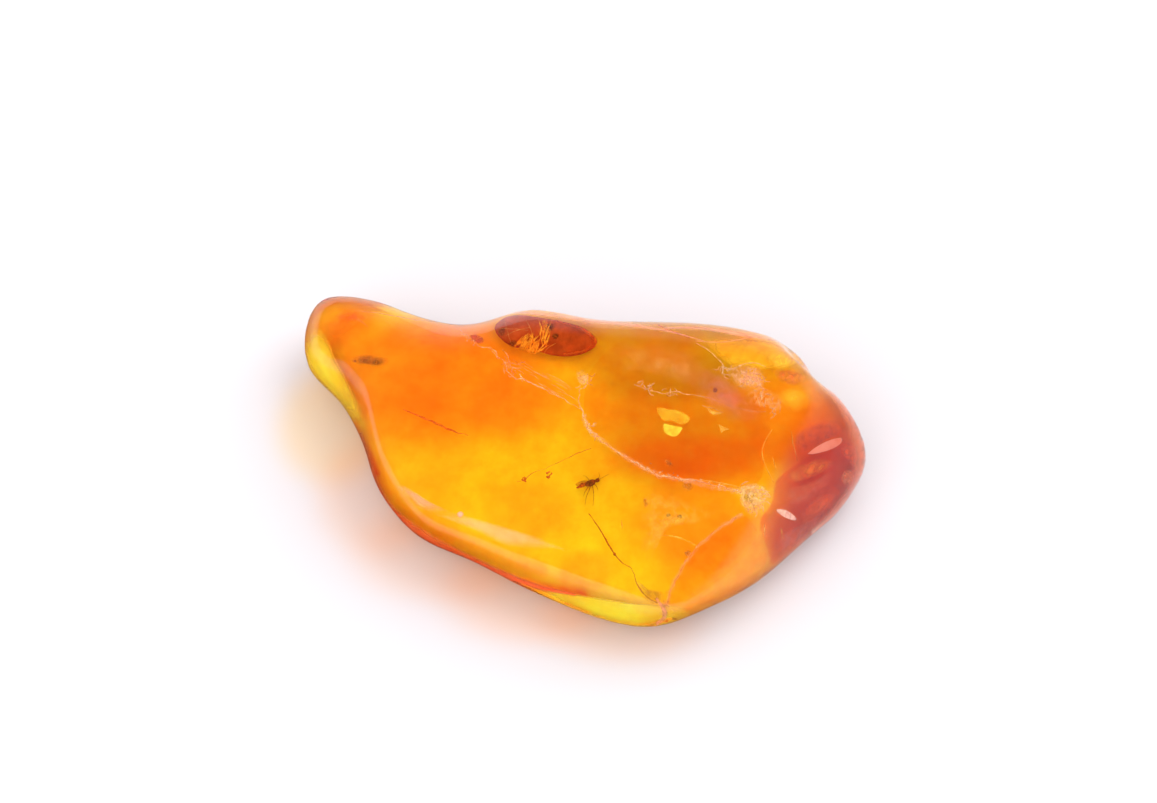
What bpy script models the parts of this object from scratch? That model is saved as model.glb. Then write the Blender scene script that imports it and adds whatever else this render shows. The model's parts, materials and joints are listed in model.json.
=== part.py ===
"""A polished piece of amber lying on its flat underside, with a gnat, a plant hair, a bud scale and a
bark crumb sealed in it. The clear amber is one stone, parted in two along a plane through the pockets
that hold them.

+X runs along the stone from its narrow nose to its blunt end, +Y is the back and +Z is up. The origin
is on the underside, in the middle of the stone. Shapes are worked out in millimetres and stored in
metres.
"""

import math
from collections import namedtuple

import bmesh
import bpy
import numpy as np
from mathutils import Euler, Matrix, Vector

MM = 0.001
CLEARANCE = 0.3  # between the two halves, and from each inclusion to the walls of its pocket

# The stone's cross-sections, from nose to blunt end. front and back are the y of the widest outline,
# girdle is its height, crown and keel are how far the section rises and drops from there, and lean
# is how far the crest sits behind the middle.
Station = namedtuple("Station", "x front back girdle crown keel lean")
STATIONS = (
    Station(-22.5, 11.0, 11.0, 3.8, 0.0, 0.0, 0.0),
    Station(-22.1, 8.7, 13.2, 3.9, 1.6, 1.7, 0.1),
    Station(-21.0, 7.3, 14.4, 4.0, 2.9, 2.8, 0.3),
    Station(-19.2, 5.3, 14.2, 4.2, 3.8, 3.7, 0.6),
    Station(-17.5, 1.8, 13.8, 4.3, 4.3, 4.3, 0.8),
    Station(-16.1, -2.5, 13.4, 4.4, 4.6, 4.7, 1.0),
    Station(-13.0, -6.6, 11.9, 4.6, 5.3, 5.2, 1.3),
    Station(-8.5, -9.0, 11.0, 4.9, 6.3, 5.6, 1.5),
    Station(-4.0, -11.9, 11.6, 5.2, 7.4, 5.9, 1.6),
    Station(1.0, -14.4, 10.3, 5.4, 8.2, 6.2, 1.6),
    Station(5.0, -15.1, 10.1, 5.5, 8.4, 6.3, 1.5),
    Station(9.5, -13.3, 9.9, 5.6, 8.2, 6.4, 1.3),
    Station(13.5, -11.0, 9.3, 5.6, 7.6, 6.4, 1.0),
    Station(17.2, -7.4, 8.2, 5.4, 6.6, 6.0, 0.6),
    Station(18.6, -5.9, 5.5, 5.2, 5.5, 5.6, 0.5),
    Station(20.1, -4.4, 4.0, 5.0, 4.7, 4.8, 0.3),
    Station(21.7, -1.7, 1.7, 4.6, 3.1, 3.2, 0.2),
    Station(22.5, 0.2, 0.2, 4.3, 0.0, 0.0, 0.0),
)
RINGS_PER_STATION = 3
RING_POINTS = 48
SQUARENESS = 0.94  # 1 makes each section an ellipse, and less makes it boxier

# Broad flats that polishing left: a point on the flat, the way it faces and how softly it meets the
# rest of the stone.
Flat = namedtuple("Flat", "at facing softness")
FLATS = (
    Flat((-6.0, -3.4, 8.9), (-0.08, -0.28, 0.96), 0.5),
    Flat((-8.5, -7.8, 7.5), (-0.31, -0.85, 0.42), 0.35),
    Flat((8.0, 5.1, 12.6), (0.10, 0.26, 0.96), 0.4),
    Flat((16.5, -5.4, 7.0), (0.62, -0.55, 0.56), 0.6),
)

# Hollows worn into the stone: where, how far across, how deep, and the way out of them.
Hollow = namedtuple("Hollow", "at radius depth out")
HOLLOWS = (
    Hollow((17.9, 7.0, 9.4), 1.9, 1.6, (0.55, 0.75, 0.35)),
    Hollow((17.0, 3.4, 11.2), 1.7, 0.5, (0.40, 0.20, 0.90)),
    Hollow((13.4, 2.2, 12.0), 2.6, 0.5, (0.0, -0.1, 1.0)),
    Hollow((15.6, -2.2, 11.0), 3.0, 0.7, (0.35, -0.45, 0.82)),
    Hollow((-10.2, 10.2, 8.4), 3.2, 0.5, (0.0, 0.8, 0.6)),
)

# The plane that parts the stone and holds the inclusions. It rises to the back and to the blunt end.
PARTING_AT = Vector((0.0, 0.0, 7.1))
PARTING_TURN = Euler((math.radians(11.3), math.radians(-3.4), 0.0))

# Where each inclusion lies along, across and above the parting plane, and how far it is turned in it.
Place = namedtuple("Place", "along across above turn")
GNAT_PLACE = Place(0.4, -3.6, 0.0, math.radians(22))
HAIR_PLACE = Place(1.9, -8.4, 0.0, 0.0)
SCALE_PLACE = Place(-2.7, 8.1, 0.0, math.radians(-16.5))
CRUMB_PLACE = Place(-16.7, 7.0, -0.35, math.radians(-8))

# The gnat lies on its right side. Its own +x runs to its head, +y to its back and +z to its left.
# The body is a row of (x, y, half-height, half-width) from the tip of the abdomen to the mouth.
GNAT_BODY = (
    (-0.98, -0.02, 0.05, 0.05),
    (-0.82, -0.02, 0.14, 0.13),
    (-0.50, 0.00, 0.19, 0.18),
    (-0.20, 0.00, 0.16, 0.15),
    (0.00, 0.00, 0.09, 0.08),
    (0.12, 0.03, 0.19, 0.15),
    (0.32, 0.04, 0.22, 0.17),
    (0.50, 0.01, 0.14, 0.12),
    (0.58, 0.00, 0.06, 0.06),
    (0.66, 0.00, 0.13, 0.15),
    (0.78, -0.01, 0.12, 0.14),
    (0.86, -0.03, 0.04, 0.05),
)
# Each leg and feeler is a route from its root, inside the body, to its tip.
GNAT_LEGS = (
    ((0.10, -0.08, 0.05), (0.05, -0.40, 0.16), (-0.56, -0.84, 0.26), (-0.91, -1.47, 0.18)),
    ((0.22, -0.08, 0.06), (0.22, -0.64, 0.24), (-0.10, -1.21, 0.26), (-0.39, -2.04, 0.12)),
    ((0.36, -0.06, 0.06), (0.62, -0.30, 0.20), (0.40, -0.52, 0.24), (0.34, -0.80, 0.20)),
    ((0.12, -0.06, -0.05), (-0.10, -0.14, -0.26), (-0.60, -0.08, -0.30), (-1.05, -0.12, -0.24)),
    ((0.24, -0.06, -0.06), (0.12, -0.20, -0.28), (-0.34, -0.24, -0.34), (-0.80, -0.26, -0.28)),
    ((0.36, -0.05, -0.06), (0.56, -0.16, -0.26), (0.30, -0.22, -0.34), (0.02, -0.30, -0.30)),
)
GNAT_FEELERS = (
    ((0.76, 0.04, 0.06), (0.84, 0.22, 0.12), (0.95, 0.40, 0.14), (1.06, 0.58, 0.10)),
    ((0.78, 0.02, -0.06), (1.04, 0.01, -0.10), (1.38, 0.02, -0.10), (1.72, 0.03, -0.04)),
)
GNAT_WINGS = (
    ((0.24, 0.14, 0.10), (-0.10, 0.20, 0.16), (-0.60, 0.24, 0.18), (-1.00, 0.22, 0.14)),
    ((0.24, 0.14, -0.10), (-0.10, 0.19, -0.16), (-0.60, 0.21, -0.18), (-1.00, 0.18, -0.14)),
)
WING_WIDTHS = (0.05, 0.12, 0.17, 0.04)
WING_THICKNESS = 0.03
LEG_RADIUS = 0.034
FEELER_RADIUS = 0.026
GNAT_POCKET = ((0.3, -0.6, 0.0), (1.9, 2.1, 0.8))  # middle and half-sizes

# The hair runs from its loose tip past a swelling to its broken root.
HAIR_ROUTE = ((-1.6, 2.2, 0.0), (-0.2, 0.2, 0.0), (0.4, -0.9, 0.0), (1.0, -1.6, 0.0), (1.8, -2.0, 0.0))
HAIR_RADII = (0.04, 0.055, 0.085, 0.055, 0.06)

SCALE_LENGTH = 8.3
SCALE_WIDTH = 2.6
SCALE_THICKNESS = 0.7
SCALE_CUP = 0.25  # how far the ends of the scale stand above its middle

# The crumb's lumps along its length: (x, y, half-width, half-height).
CRUMB_LUMPS = (
    (-1.4, 0.06, 0.08, 0.06),
    (-1.0, 0.05, 0.26, 0.20),
    (-0.6, 0.02, 0.34, 0.30),
    (-0.2, -0.04, 0.24, 0.22),
    (0.2, -0.10, 0.38, 0.34),
    (0.6, -0.16, 0.30, 0.26),
    (1.0, 0.02, 0.28, 0.24),
    (1.4, 0.08, 0.08, 0.06),
)
CRUMB_POCKET = ((0.0, 0.0, 0.0), (1.85, 0.85, 0.75))


def smooth_rows():
    """The stations' rows of numbers with smooth ones between them, the two tips included."""
    rows = [
        np.array((s.x, (s.front + s.back) / 2, (s.back - s.front) / 2, s.girdle, s.crown, s.keel, s.lean))
        for s in STATIONS
    ]
    past_tip = np.array((1, 1, -1, 1, -1, -1, 1))  # the row past a tip is the row before it, turned over
    rows = [rows[1] * past_tip, *rows, rows[-2] * past_tip]
    found = []
    for before, start, end, after in zip(rows, rows[1:], rows[2:], rows[3:]):
        line, leaving, arriving = end - start, (end - before) / 2, (after - start) / 2
        for step in range(RINGS_PER_STATION):
            u = step / RINGS_PER_STATION
            bend = (3 * line - 2 * leaving - arriving) * u**2 + (leaving + arriving - 2 * line) * u**3
            found.append(start + leaving * u + bend)
    return [*found, rows[-2]]


def worn(point):
    """The point after polishing: pressed back to the flats, sunk into the hollows and cut off at the base."""
    for flat in FLATS:
        facing = Vector(flat.facing).normalized()
        proud = (point - Vector(flat.at)).dot(facing)
        over = flat.softness * math.log1p(math.exp(min(proud / flat.softness, 50)))
        point = point - facing * over
    for hollow in HOLLOWS:
        away = (point - Vector(hollow.at)).length / hollow.radius
        point = point - Vector(hollow.out).normalized() * hollow.depth * math.exp(-away * away)
    return Vector((point.x, point.y, max(point.z, 0.0)))


def signed_power(value, power):
    return math.copysign(abs(value) ** power, value)


def ring(row):
    """One cross-section's points, from the back of the widest outline over the crest and round underneath."""
    x, middle, half, girdle, crown, keel, lean = row
    points = []
    for number in range(RING_POINTS):
        angle = 2 * math.pi * number / RING_POINTS
        across = signed_power(math.cos(angle), SQUARENESS)
        rise = signed_power(math.sin(angle), SQUARENESS)
        y = middle + half * across + lean * max(rise, 0)
        z = girdle + (crown if rise > 0 else keel) * rise
        points.append(worn(Vector((x, y, z))))
    return points


def stone_rings():
    """All the rings. The first and last are the tips, whose points coincide."""
    return [ring(row) for row in smooth_rows()]


def loft(rings):
    """A closed bmesh through the rings of points. A ring whose points coincide becomes a tip."""
    bm = bmesh.new()
    loops = [[bm.verts.new(point) for point in ring_points] for ring_points in rings]
    for near, far in zip(loops, loops[1:]):
        for number in range(len(near)):
            bm.faces.new((near[number - 1], near[number], far[number], far[number - 1]))
    bm.faces.new(loops[0])
    bm.faces.new(loops[-1])
    bmesh.ops.remove_doubles(bm, verts=bm.verts, dist=0.0001)
    bmesh.ops.recalc_face_normals(bm, faces=bm.faces)
    return bm


def tube(route, widths, heights, sides):
    """A closed bmesh along the route, with an oval section at each of its points."""
    route = [Vector(point) for point in route]
    rings = []
    for number, point in enumerate(route):
        ahead = (route[min(number + 1, len(route) - 1)] - route[max(number - 1, 0)]).normalized()
        side = Vector((0.0, 0.0, 1.0)).cross(ahead).normalized()
        over = ahead.cross(side)
        turns = [2 * math.pi * corner / sides for corner in range(sides)]
        wide, high = widths[number], heights[number]
        rings.append([point + side * wide * math.cos(a) + over * high * math.sin(a) for a in turns])
    return loft(rings)


def ellipsoid(middle, half_sizes, segments=20, rings=10):
    bm = bmesh.new()
    matrix = Matrix.Translation(middle) @ Matrix.Diagonal((*half_sizes, 1.0))
    bmesh.ops.create_uvsphere(bm, u_segments=segments, v_segments=rings, radius=1.0, matrix=matrix)
    return bm


def add_object(name, bm, material=None, place=None, parent=None):
    """An object from a bmesh in millimetres, lying at its place in the parent's plane."""
    bm.transform(Matrix.Scale(MM, 4))
    mesh = bpy.data.meshes.new(name)
    bm.to_mesh(mesh)
    bm.free()
    mesh.shade_smooth()
    obj = bpy.data.objects.new(name, mesh)
    bpy.context.scene.collection.objects.link(obj)
    obj.parent = parent
    if place:
        obj.location = Vector((place.along, place.across, place.above)) * MM
        obj.rotation_euler.z = place.turn
    if material:
        mesh.materials.append(material)
    else:
        obj.hide_render = True
        obj.display_type = "WIRE"
    return obj


def add_boolean(obj, operation, other):
    modifier = obj.modifiers.new(f"{operation.lower()} {other.name}", "BOOLEAN")
    modifier.operation = operation
    modifier.solver = "EXACT"
    modifier.use_self = operation == "UNION"
    modifier.object = other


def add_material(name, colour, roughness, transmission=0.0):
    material = bpy.data.materials.new(name)
    material.use_nodes = True
    shader = material.node_tree.nodes["Principled BSDF"]
    shader.inputs["Base Color"].default_value = (*colour, 1.0)
    shader.inputs["Roughness"].default_value = roughness
    shader.inputs["Transmission Weight"].default_value = transmission
    shader.inputs["IOR"].default_value = 1.54
    material.diffuse_color = (*colour, 1.0)
    return material


def joined(pieces):
    """One bmesh that holds all the pieces, each still a closed shell of its own."""
    whole = bmesh.new()
    for piece in pieces:
        mesh = bpy.data.meshes.new("piece")
        piece.to_mesh(mesh)
        piece.free()
        whole.from_mesh(mesh)
        bpy.data.meshes.remove(mesh)
    return whole


def add_gnat(plane):
    """The gnat, and the hollow that it lies in."""
    route = [(x, y, 0.0) for x, y, _, _ in GNAT_BODY]
    heights = [row[2] for row in GNAT_BODY]
    widths = [row[3] for row in GNAT_BODY]
    chitin = add_material("chitin", (0.12, 0.03, 0.01), 0.4)
    gnat = add_object("gnat", tube(route, heights, widths, 12), chitin, GNAT_PLACE, plane)
    limbs = []
    for routes, root in ((GNAT_LEGS, LEG_RADIUS), (GNAT_FEELERS, FEELER_RADIUS)):
        for limb in routes:
            radii = [root, root * 0.95, root * 0.8, root * 0.6]
            limbs.append(tube(limb, radii, radii, 5))
    for wing in GNAT_WINGS:
        limbs.append(tube(wing, WING_WIDTHS, [WING_THICKNESS / 2] * len(wing), 8))
    add_boolean(gnat, "UNION", add_object("gnat_limbs", joined(limbs), None, GNAT_PLACE, plane))
    return add_object("gnat_pocket", ellipsoid(*GNAT_POCKET), None, GNAT_PLACE, plane)


def add_hair(plane):
    fibre = add_material("plant_fibre", (0.35, 0.12, 0.02), 0.5)
    add_object("plant_hair", tube(HAIR_ROUTE, HAIR_RADII, HAIR_RADII, 8), fibre, HAIR_PLACE, plane)
    first, *_, last = [Vector(point) for point in HAIR_ROUTE]
    ends = (first + Vector((-0.2, 0.4, 0.0)), last + Vector((0.35, -0.3, 0.0)))
    route = (ends[0], *HAIR_ROUTE[1:-1], ends[1])
    radii = [max(HAIR_RADII) + CLEARANCE] * len(route)
    return add_object("hair_pocket", tube(route, radii, radii, 8), None, HAIR_PLACE, plane)


def almond(length, width, thickness):
    """A pointed oval plate whose ends curl up."""
    rings = []
    stations = 13
    for number in range(stations):
        along = 2 * number / (stations - 1) - 1
        swell = (1 - along * along) ** 0.75
        points = []
        for corner in range(14):
            angle = 2 * math.pi * corner / 14
            across = width / 2 * swell * math.cos(angle)
            up = thickness / 2 * swell * math.sin(angle) + SCALE_CUP * (along * along - 0.5)
            points.append(Vector((along * length / 2, across, up)))
        rings.append(points)
    return loft(rings)


def add_scale(plane):
    husk = add_material("bud_husk", (0.30, 0.03, 0.01), 0.45)
    add_object("bud_scale", almond(SCALE_LENGTH, SCALE_WIDTH, SCALE_THICKNESS), husk, SCALE_PLACE, plane)
    grown = [size + 2 * CLEARANCE for size in (SCALE_LENGTH + 0.3, SCALE_WIDTH, SCALE_THICKNESS)]
    return add_object("scale_pocket", almond(*grown), None, SCALE_PLACE, plane)


def add_crumb(plane):
    bark = add_material("bark", (0.10, 0.04, 0.02), 0.8)
    route = [(x, y, 0.0) for x, y, _, _ in CRUMB_LUMPS]
    widths = [row[2] for row in CRUMB_LUMPS]
    heights = [row[3] for row in CRUMB_LUMPS]
    add_object("bark_crumb", tube(route, widths, heights, 9), bark, CRUMB_PLACE, plane)
    return add_object("crumb_pocket", ellipsoid(*CRUMB_POCKET), None, CRUMB_PLACE, plane)


def add_half(name, side, pockets, material):
    """The stone above (side 1) or below (side -1) the parting plane, hollowed by the pockets."""
    bm = loft(stone_rings())
    facing = PARTING_TURN.to_matrix() @ Vector((0.0, 0.0, 1.0))
    cut = bmesh.ops.bisect_plane(
        bm,
        geom=[*bm.verts, *bm.edges, *bm.faces],
        dist=0.02,
        plane_co=PARTING_AT + facing * side * CLEARANCE / 2,
        plane_no=facing,
        clear_inner=side > 0,
        clear_outer=side < 0,
    )
    rim = [part for part in cut["geom_cut"] if isinstance(part, bmesh.types.BMEdge)]
    bmesh.ops.contextual_create(bm, geom=rim)
    bmesh.ops.recalc_face_normals(bm, faces=bm.faces)
    half = add_object(name, bm, material)
    for pocket in pockets:
        add_boolean(half, "DIFFERENCE", pocket)


def build():
    for obj in list(bpy.data.objects):
        bpy.data.objects.remove(obj)
    bpy.context.scene.unit_settings.scale_length = 1.0
    plane = bpy.data.objects.new("parting_plane", None)
    bpy.context.scene.collection.objects.link(plane)
    plane.location = PARTING_AT * MM
    plane.rotation_euler = PARTING_TURN
    pockets = [add_gnat(plane), add_hair(plane), add_scale(plane), add_crumb(plane)]
    amber = add_material("amber", (0.90, 0.42, 0.04), 0.05, transmission=1.0)
    add_half("amber_upper_half", 1, pockets, amber)
    add_half("amber_lower_half", -1, pockets, amber)


build()
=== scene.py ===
import json
import math
import random

import bpy
import numpy as np
from mathutils import Euler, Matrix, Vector, noise
from mathutils.bvhtree import BVHTree

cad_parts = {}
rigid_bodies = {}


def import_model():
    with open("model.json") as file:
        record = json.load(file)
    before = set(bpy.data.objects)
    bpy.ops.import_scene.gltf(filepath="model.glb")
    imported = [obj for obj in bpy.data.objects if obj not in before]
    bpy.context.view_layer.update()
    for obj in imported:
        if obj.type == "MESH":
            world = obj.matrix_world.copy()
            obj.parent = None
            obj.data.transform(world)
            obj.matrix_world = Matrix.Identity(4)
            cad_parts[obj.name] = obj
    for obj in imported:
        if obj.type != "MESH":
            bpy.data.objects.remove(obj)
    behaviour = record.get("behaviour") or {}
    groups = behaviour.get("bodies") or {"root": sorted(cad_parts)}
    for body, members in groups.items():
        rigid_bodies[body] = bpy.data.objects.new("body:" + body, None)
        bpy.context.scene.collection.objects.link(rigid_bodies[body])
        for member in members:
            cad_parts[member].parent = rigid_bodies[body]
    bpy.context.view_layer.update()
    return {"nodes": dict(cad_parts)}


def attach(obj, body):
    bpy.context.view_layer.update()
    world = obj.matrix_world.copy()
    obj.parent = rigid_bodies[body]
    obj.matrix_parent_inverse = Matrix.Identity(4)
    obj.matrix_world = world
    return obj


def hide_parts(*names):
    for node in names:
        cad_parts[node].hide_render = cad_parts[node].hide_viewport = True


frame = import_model()
mm = 0.001
print("packed stone loaded")

view = {
    "elevation": math.radians(60),  # the camera looks down on the stone from the front
    "lens": 100.0,
    "sensor": 36.0,
    "distance": 257 * mm,
    "aim": Vector((-0.4, 5.95, 3.0)) * mm,
    "pixels": (1157, 803),  # the frame that view positions are given in
    "stoneMiddle": (590, 460),
}
lookBack = Vector((0, -math.cos(view["elevation"]), math.sin(view["elevation"])))
lookUp = Vector((0, math.sin(view["elevation"]), math.cos(view["elevation"])))
white = (1, 1, 1)
eye = view["aim"] + lookBack * view["distance"]
pixelSize = view["distance"] * view["sensor"] / view["lens"] / view["pixels"][0]


def addCamera():
    bpy.ops.object.camera_add()
    camera = bpy.context.object
    camera.name = "stoneCamera"
    camera.data.lens = view["lens"]
    camera.data.sensor_width = view["sensor"]
    camera.data.clip_start = 0.01
    camera.location = eye
    camera.rotation_euler = (math.radians(90) - view["elevation"], 0, 0)
    bpy.context.scene.camera = camera


def activate(piece):
    bpy.ops.object.select_all(action="DESELECT")
    piece.select_set(True)
    bpy.context.view_layer.objects.active = piece


def applyModifier(piece, kind, **values):
    activate(piece)
    modifier = piece.modifiers.new(kind.lower(), kind)
    for name, value in values.items():
        setattr(modifier, name, value)
    bpy.ops.object.modifier_apply(modifier=modifier.name)


def joinPieces(name, pieces):
    activate(pieces[0])
    for piece in pieces:
        piece.select_set(True)
    if len(pieces) > 1:
        bpy.ops.object.join()
    joined = bpy.context.object
    joined.name = name
    return joined


amber = {
    "partingAt": Vector((0, 0, 7.1)) * mm,
    "partingTurn": Euler((math.radians(11.3), math.radians(-3.4), 0)),
    "gap": 0.3 * mm,
    "voxel": 0.4 * mm,
    "smoothing": 14,
    "ior": 1.54,
    "roughness": 0.02,
    "absorbColour": (0.999, 0.89, 0.0),
    "absorbDensity": 400.0,
    # colour zones: view pixel, reach along, across and down in mm, colour let through each time
    "zones": {
        "backSlope": ((600, 325), (24.0, 4.5, 14.0), (1.0, 0.66, 0.48)),
        "orangeNose": ((352, 340), (4.5, 3.6, 9.0), (1.0, 0.86, 0.75)),
        "redEnd": ((845, 470), (6.0, 7.0, 12.0), (0.75, 0.30, 0.22)),
    },
    # clouds: size in mm, colour let through where they are densest
    "clouds": [(4.5, (1.0, 0.72, 0.55)), (1.1, (1.0, 0.88, 0.80))],
    "cloudShare": 0.48,
    "cloudEdge": 0.16,
}


def setMode(mode, edited=None):
    # edit or object mode, and in edit mode whether vertices, edges or faces are picked
    bpy.ops.object.mode_set(mode=mode)
    if edited:
        bpy.ops.mesh.select_mode(type=edited)


def partingFace():
    return amber["partingTurn"].to_matrix() @ Vector((0, 0, 1))


def openHalf(nodeName, side):
    # a half of the stone without its parting face and without the pockets
    half = bpy.data.objects.new(nodeName + "Skin", frame["nodes"][nodeName].data.copy())
    bpy.context.scene.collection.objects.link(half)
    half.data.materials.clear()
    facing = partingFace()
    level = facing.dot(amber["partingAt"]) + side * amber["gap"] / 2
    activate(half)
    setMode("EDIT")
    bpy.ops.mesh.select_all(action="SELECT")
    bpy.ops.mesh.remove_doubles(threshold=0.001 * mm)
    bpy.ops.mesh.select_all(action="DESELECT")
    setMode("OBJECT")
    for face in half.data.polygons:
        flat = abs(face.normal.dot(facing)) > 0.98
        face.select = flat and abs(facing.dot(face.center) - level) < 0.06 * mm
    setMode("EDIT")
    bpy.ops.mesh.delete(type="FACE")
    setMode("OBJECT")
    outermost = max(half.data.vertices, key=lambda vertex: side * facing.dot(vertex.co))
    outermost.select = True
    setMode("EDIT", "VERT")
    bpy.ops.mesh.select_linked()
    bpy.ops.mesh.select_all(action="INVERT")
    bpy.ops.mesh.delete(type="VERT")
    setMode("OBJECT")
    return half


def makeAmber():
    upper = openHalf("amber_upper_half", 1)
    lower = openHalf("amber_lower_half", -1)
    stone = joinPieces("amber", [lower, upper])
    setMode("EDIT", "EDGE")
    bpy.ops.mesh.select_all(action="DESELECT")
    bpy.ops.mesh.select_non_manifold(extend=False, use_wire=False, use_multi_face=False, use_verts=False)
    bpy.ops.mesh.bridge_edge_loops()
    bpy.ops.mesh.select_all(action="SELECT")
    bpy.ops.mesh.normals_make_consistent(inside=False)
    setMode("OBJECT")
    applyModifier(stone, "REMESH", mode="VOXEL", voxel_size=amber["voxel"], use_smooth_shade=True)
    applyModifier(stone, "SMOOTH", factor=0.5, iterations=amber["smoothing"])
    applyModifier(stone, "SUBSURF", levels=1, render_levels=1)
    bpy.ops.object.shade_smooth()
    print("amber:", len(stone.data.polygons), "faces")
    return stone


def sightThrough(px, py):
    across = (px - view["pixels"][0] / 2) * pixelSize
    upward = (view["pixels"][1] / 2 - py) * pixelSize
    return (Vector((across, 0, 0)) + lookUp * upward - lookBack * view["distance"]).normalized()


sight = {
    "step": 0.01,  # how far a pixel beside the stone slides at a time, as a share of its way to the middle
    "exact": 0.00001,  # and how near to the outline it comes to rest
    "even": 0.5 * mm,  # the skin within this reach is taken as one slope
    "slant": 0.02,  # the least slant at which it is still looked through
    "skin": 0.02 * mm,  # what is seen stays this far inside the skin
    "room": 0.9,  # and within this share of the way through
    "least": 0.6,
}


def seenAt(px, py, depth=None, lift=0.0, least=0.03, over=0.0):
    # the place that shows at a view pixel: so many mm below the skin along the bent line of sight,
    # or with no depth given, on the parting plane and so many mm above it, but at least so many mm
    # below the skin, and over mm nearer to the skin than that
    ray = sightThrough(px, py)
    spot = skin.ray_cast(eye, ray)[0]
    if spot is None:  # beside the stone, so the pixel slides towards its middle, onto the outline
        start, step, slide = Vector((px, py)), sight["step"], 0.0
        while step > sight["exact"]:
            slide += step
            nearer = sightThrough(*start.lerp(Vector(view["stoneMiddle"]), slide))
            found = skin.ray_cast(eye, nearer)[0]
            if found is not None:
                spot, ray, slide, step = found, nearer, slide - step, step / 2
    nearby = skin.find_nearest_range(spot, sight["even"])
    normal = sum((near[1] for near in nearby), Vector()).normalized()
    slant = max(-ray.dot(normal), sight["slant"])
    through = math.sqrt(1 - (1 - slant * slant) / amber["ior"] ** 2)
    bent = ray / amber["ior"] + normal * (slant / amber["ior"] - through)
    if depth is None:
        level = amber["partingAt"] + partingFace() * lift * mm
        run = partingFace().dot(level - spot) / partingFace().dot(bent)
    else:
        run = depth * mm
    room = (skin.ray_cast(spot + bent * sight["skin"], bent)[3] or 0.1 * mm) * sight["room"]
    run = max(run, min(least * mm, room * sight["least"])) - over * mm
    return spot + bent * max(min(run, room), sight["skin"])


def smoothRoute(points, closed=False, perSpan=8):
    # a smooth line through view pixels, as an array of pixels
    knots = [Vector(point) for point in points]
    count = len(knots)
    line = []
    for i in range(count if closed else count - 1):
        if closed:
            before, start, end, after = (knots[(i + k) % count] for k in (-1, 0, 1, 2))
        else:
            before, start, end, after = (knots[min(max(i + k, 0), count - 1)] for k in (-1, 0, 1, 2))
        for k in range(perSpan):
            t = k / perSpan
            bow = (end - before) * t + (2 * before - 5 * start + 4 * end - after) * t * t
            bow += (3 * start - before - 3 * end + after) * t ** 3
            line.append(start + bow / 2)
    if not closed:
        line.append(knots[-1])
    return np.array([(point.x, point.y) for point in line])


def keepFade(piece, values, name="fade"):
    fade = piece.data.attributes.new(name, "FLOAT", "POINT")
    fade.data.foreach_set("value", np.asarray(values, dtype=np.float32))


def layLens(name, outline, depth=0.0, thick=0.05, rough=0.0, grain=1.5, seed=0, segments=40, rings=10,
            lift=None, edge=1.0, least=0.03, marks={}, spread=1.0):
    # a flat lens whose outline is given in view pixels, and the rest in mm
    bpy.ops.mesh.primitive_uv_sphere_add(segments=segments, ring_count=rings, radius=1)
    piece = bpy.context.object
    piece.name = name
    rim = smoothRoute(outline, closed=True)
    middle = rim.mean(axis=0)
    spokes = (rim - middle) * (1, -1)
    turns = np.arctan2(spokes[:, 1], spokes[:, 0])
    order = np.argsort(turns)
    reaches = np.hypot(spokes[:, 0], spokes[:, 1])[order] * spread
    turns = turns[order]
    fades = []
    spots = []
    for vertex in piece.data.vertices:
        flat = min(math.hypot(vertex.co.x, vertex.co.y), 1.0)
        turn = math.atan2(vertex.co.y, vertex.co.x)
        reach = np.interp(turn, turns, reaches, period=2 * math.pi) * flat
        px = middle[0] + math.cos(turn) * reach
        py = middle[1] - math.sin(turn) * reach
        swell = vertex.co.z * thick / 2 * (1.02 - flat ** 2) ** (edge - 1)
        bumps = noise.noise(Vector((px, py, seed * 7.3)) * pixelSize / mm / grain * 2) * rough
        over = swell * (1 + bumps) + bumps * thick * 0.3
        fades.append(1 - flat)
        if lift is None:
            vertex.co = seenAt(px, py, max(depth - over, 0.03))
        else:
            vertex.co = seenAt(px, py, None, lift, least, over)
        spots.append((px, py))
    keepFade(piece, fades)
    for band, (route, width, _) in marks.items():
        line = smoothRoute(route)
        away = [np.hypot(line[:, 0] - px, line[:, 1] - py).min() / width for px, py in spots]
        keepFade(piece, [max(1 - gap, 0) for gap in away], band)
    activate(piece)
    bpy.ops.object.shade_smooth()
    return piece


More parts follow.
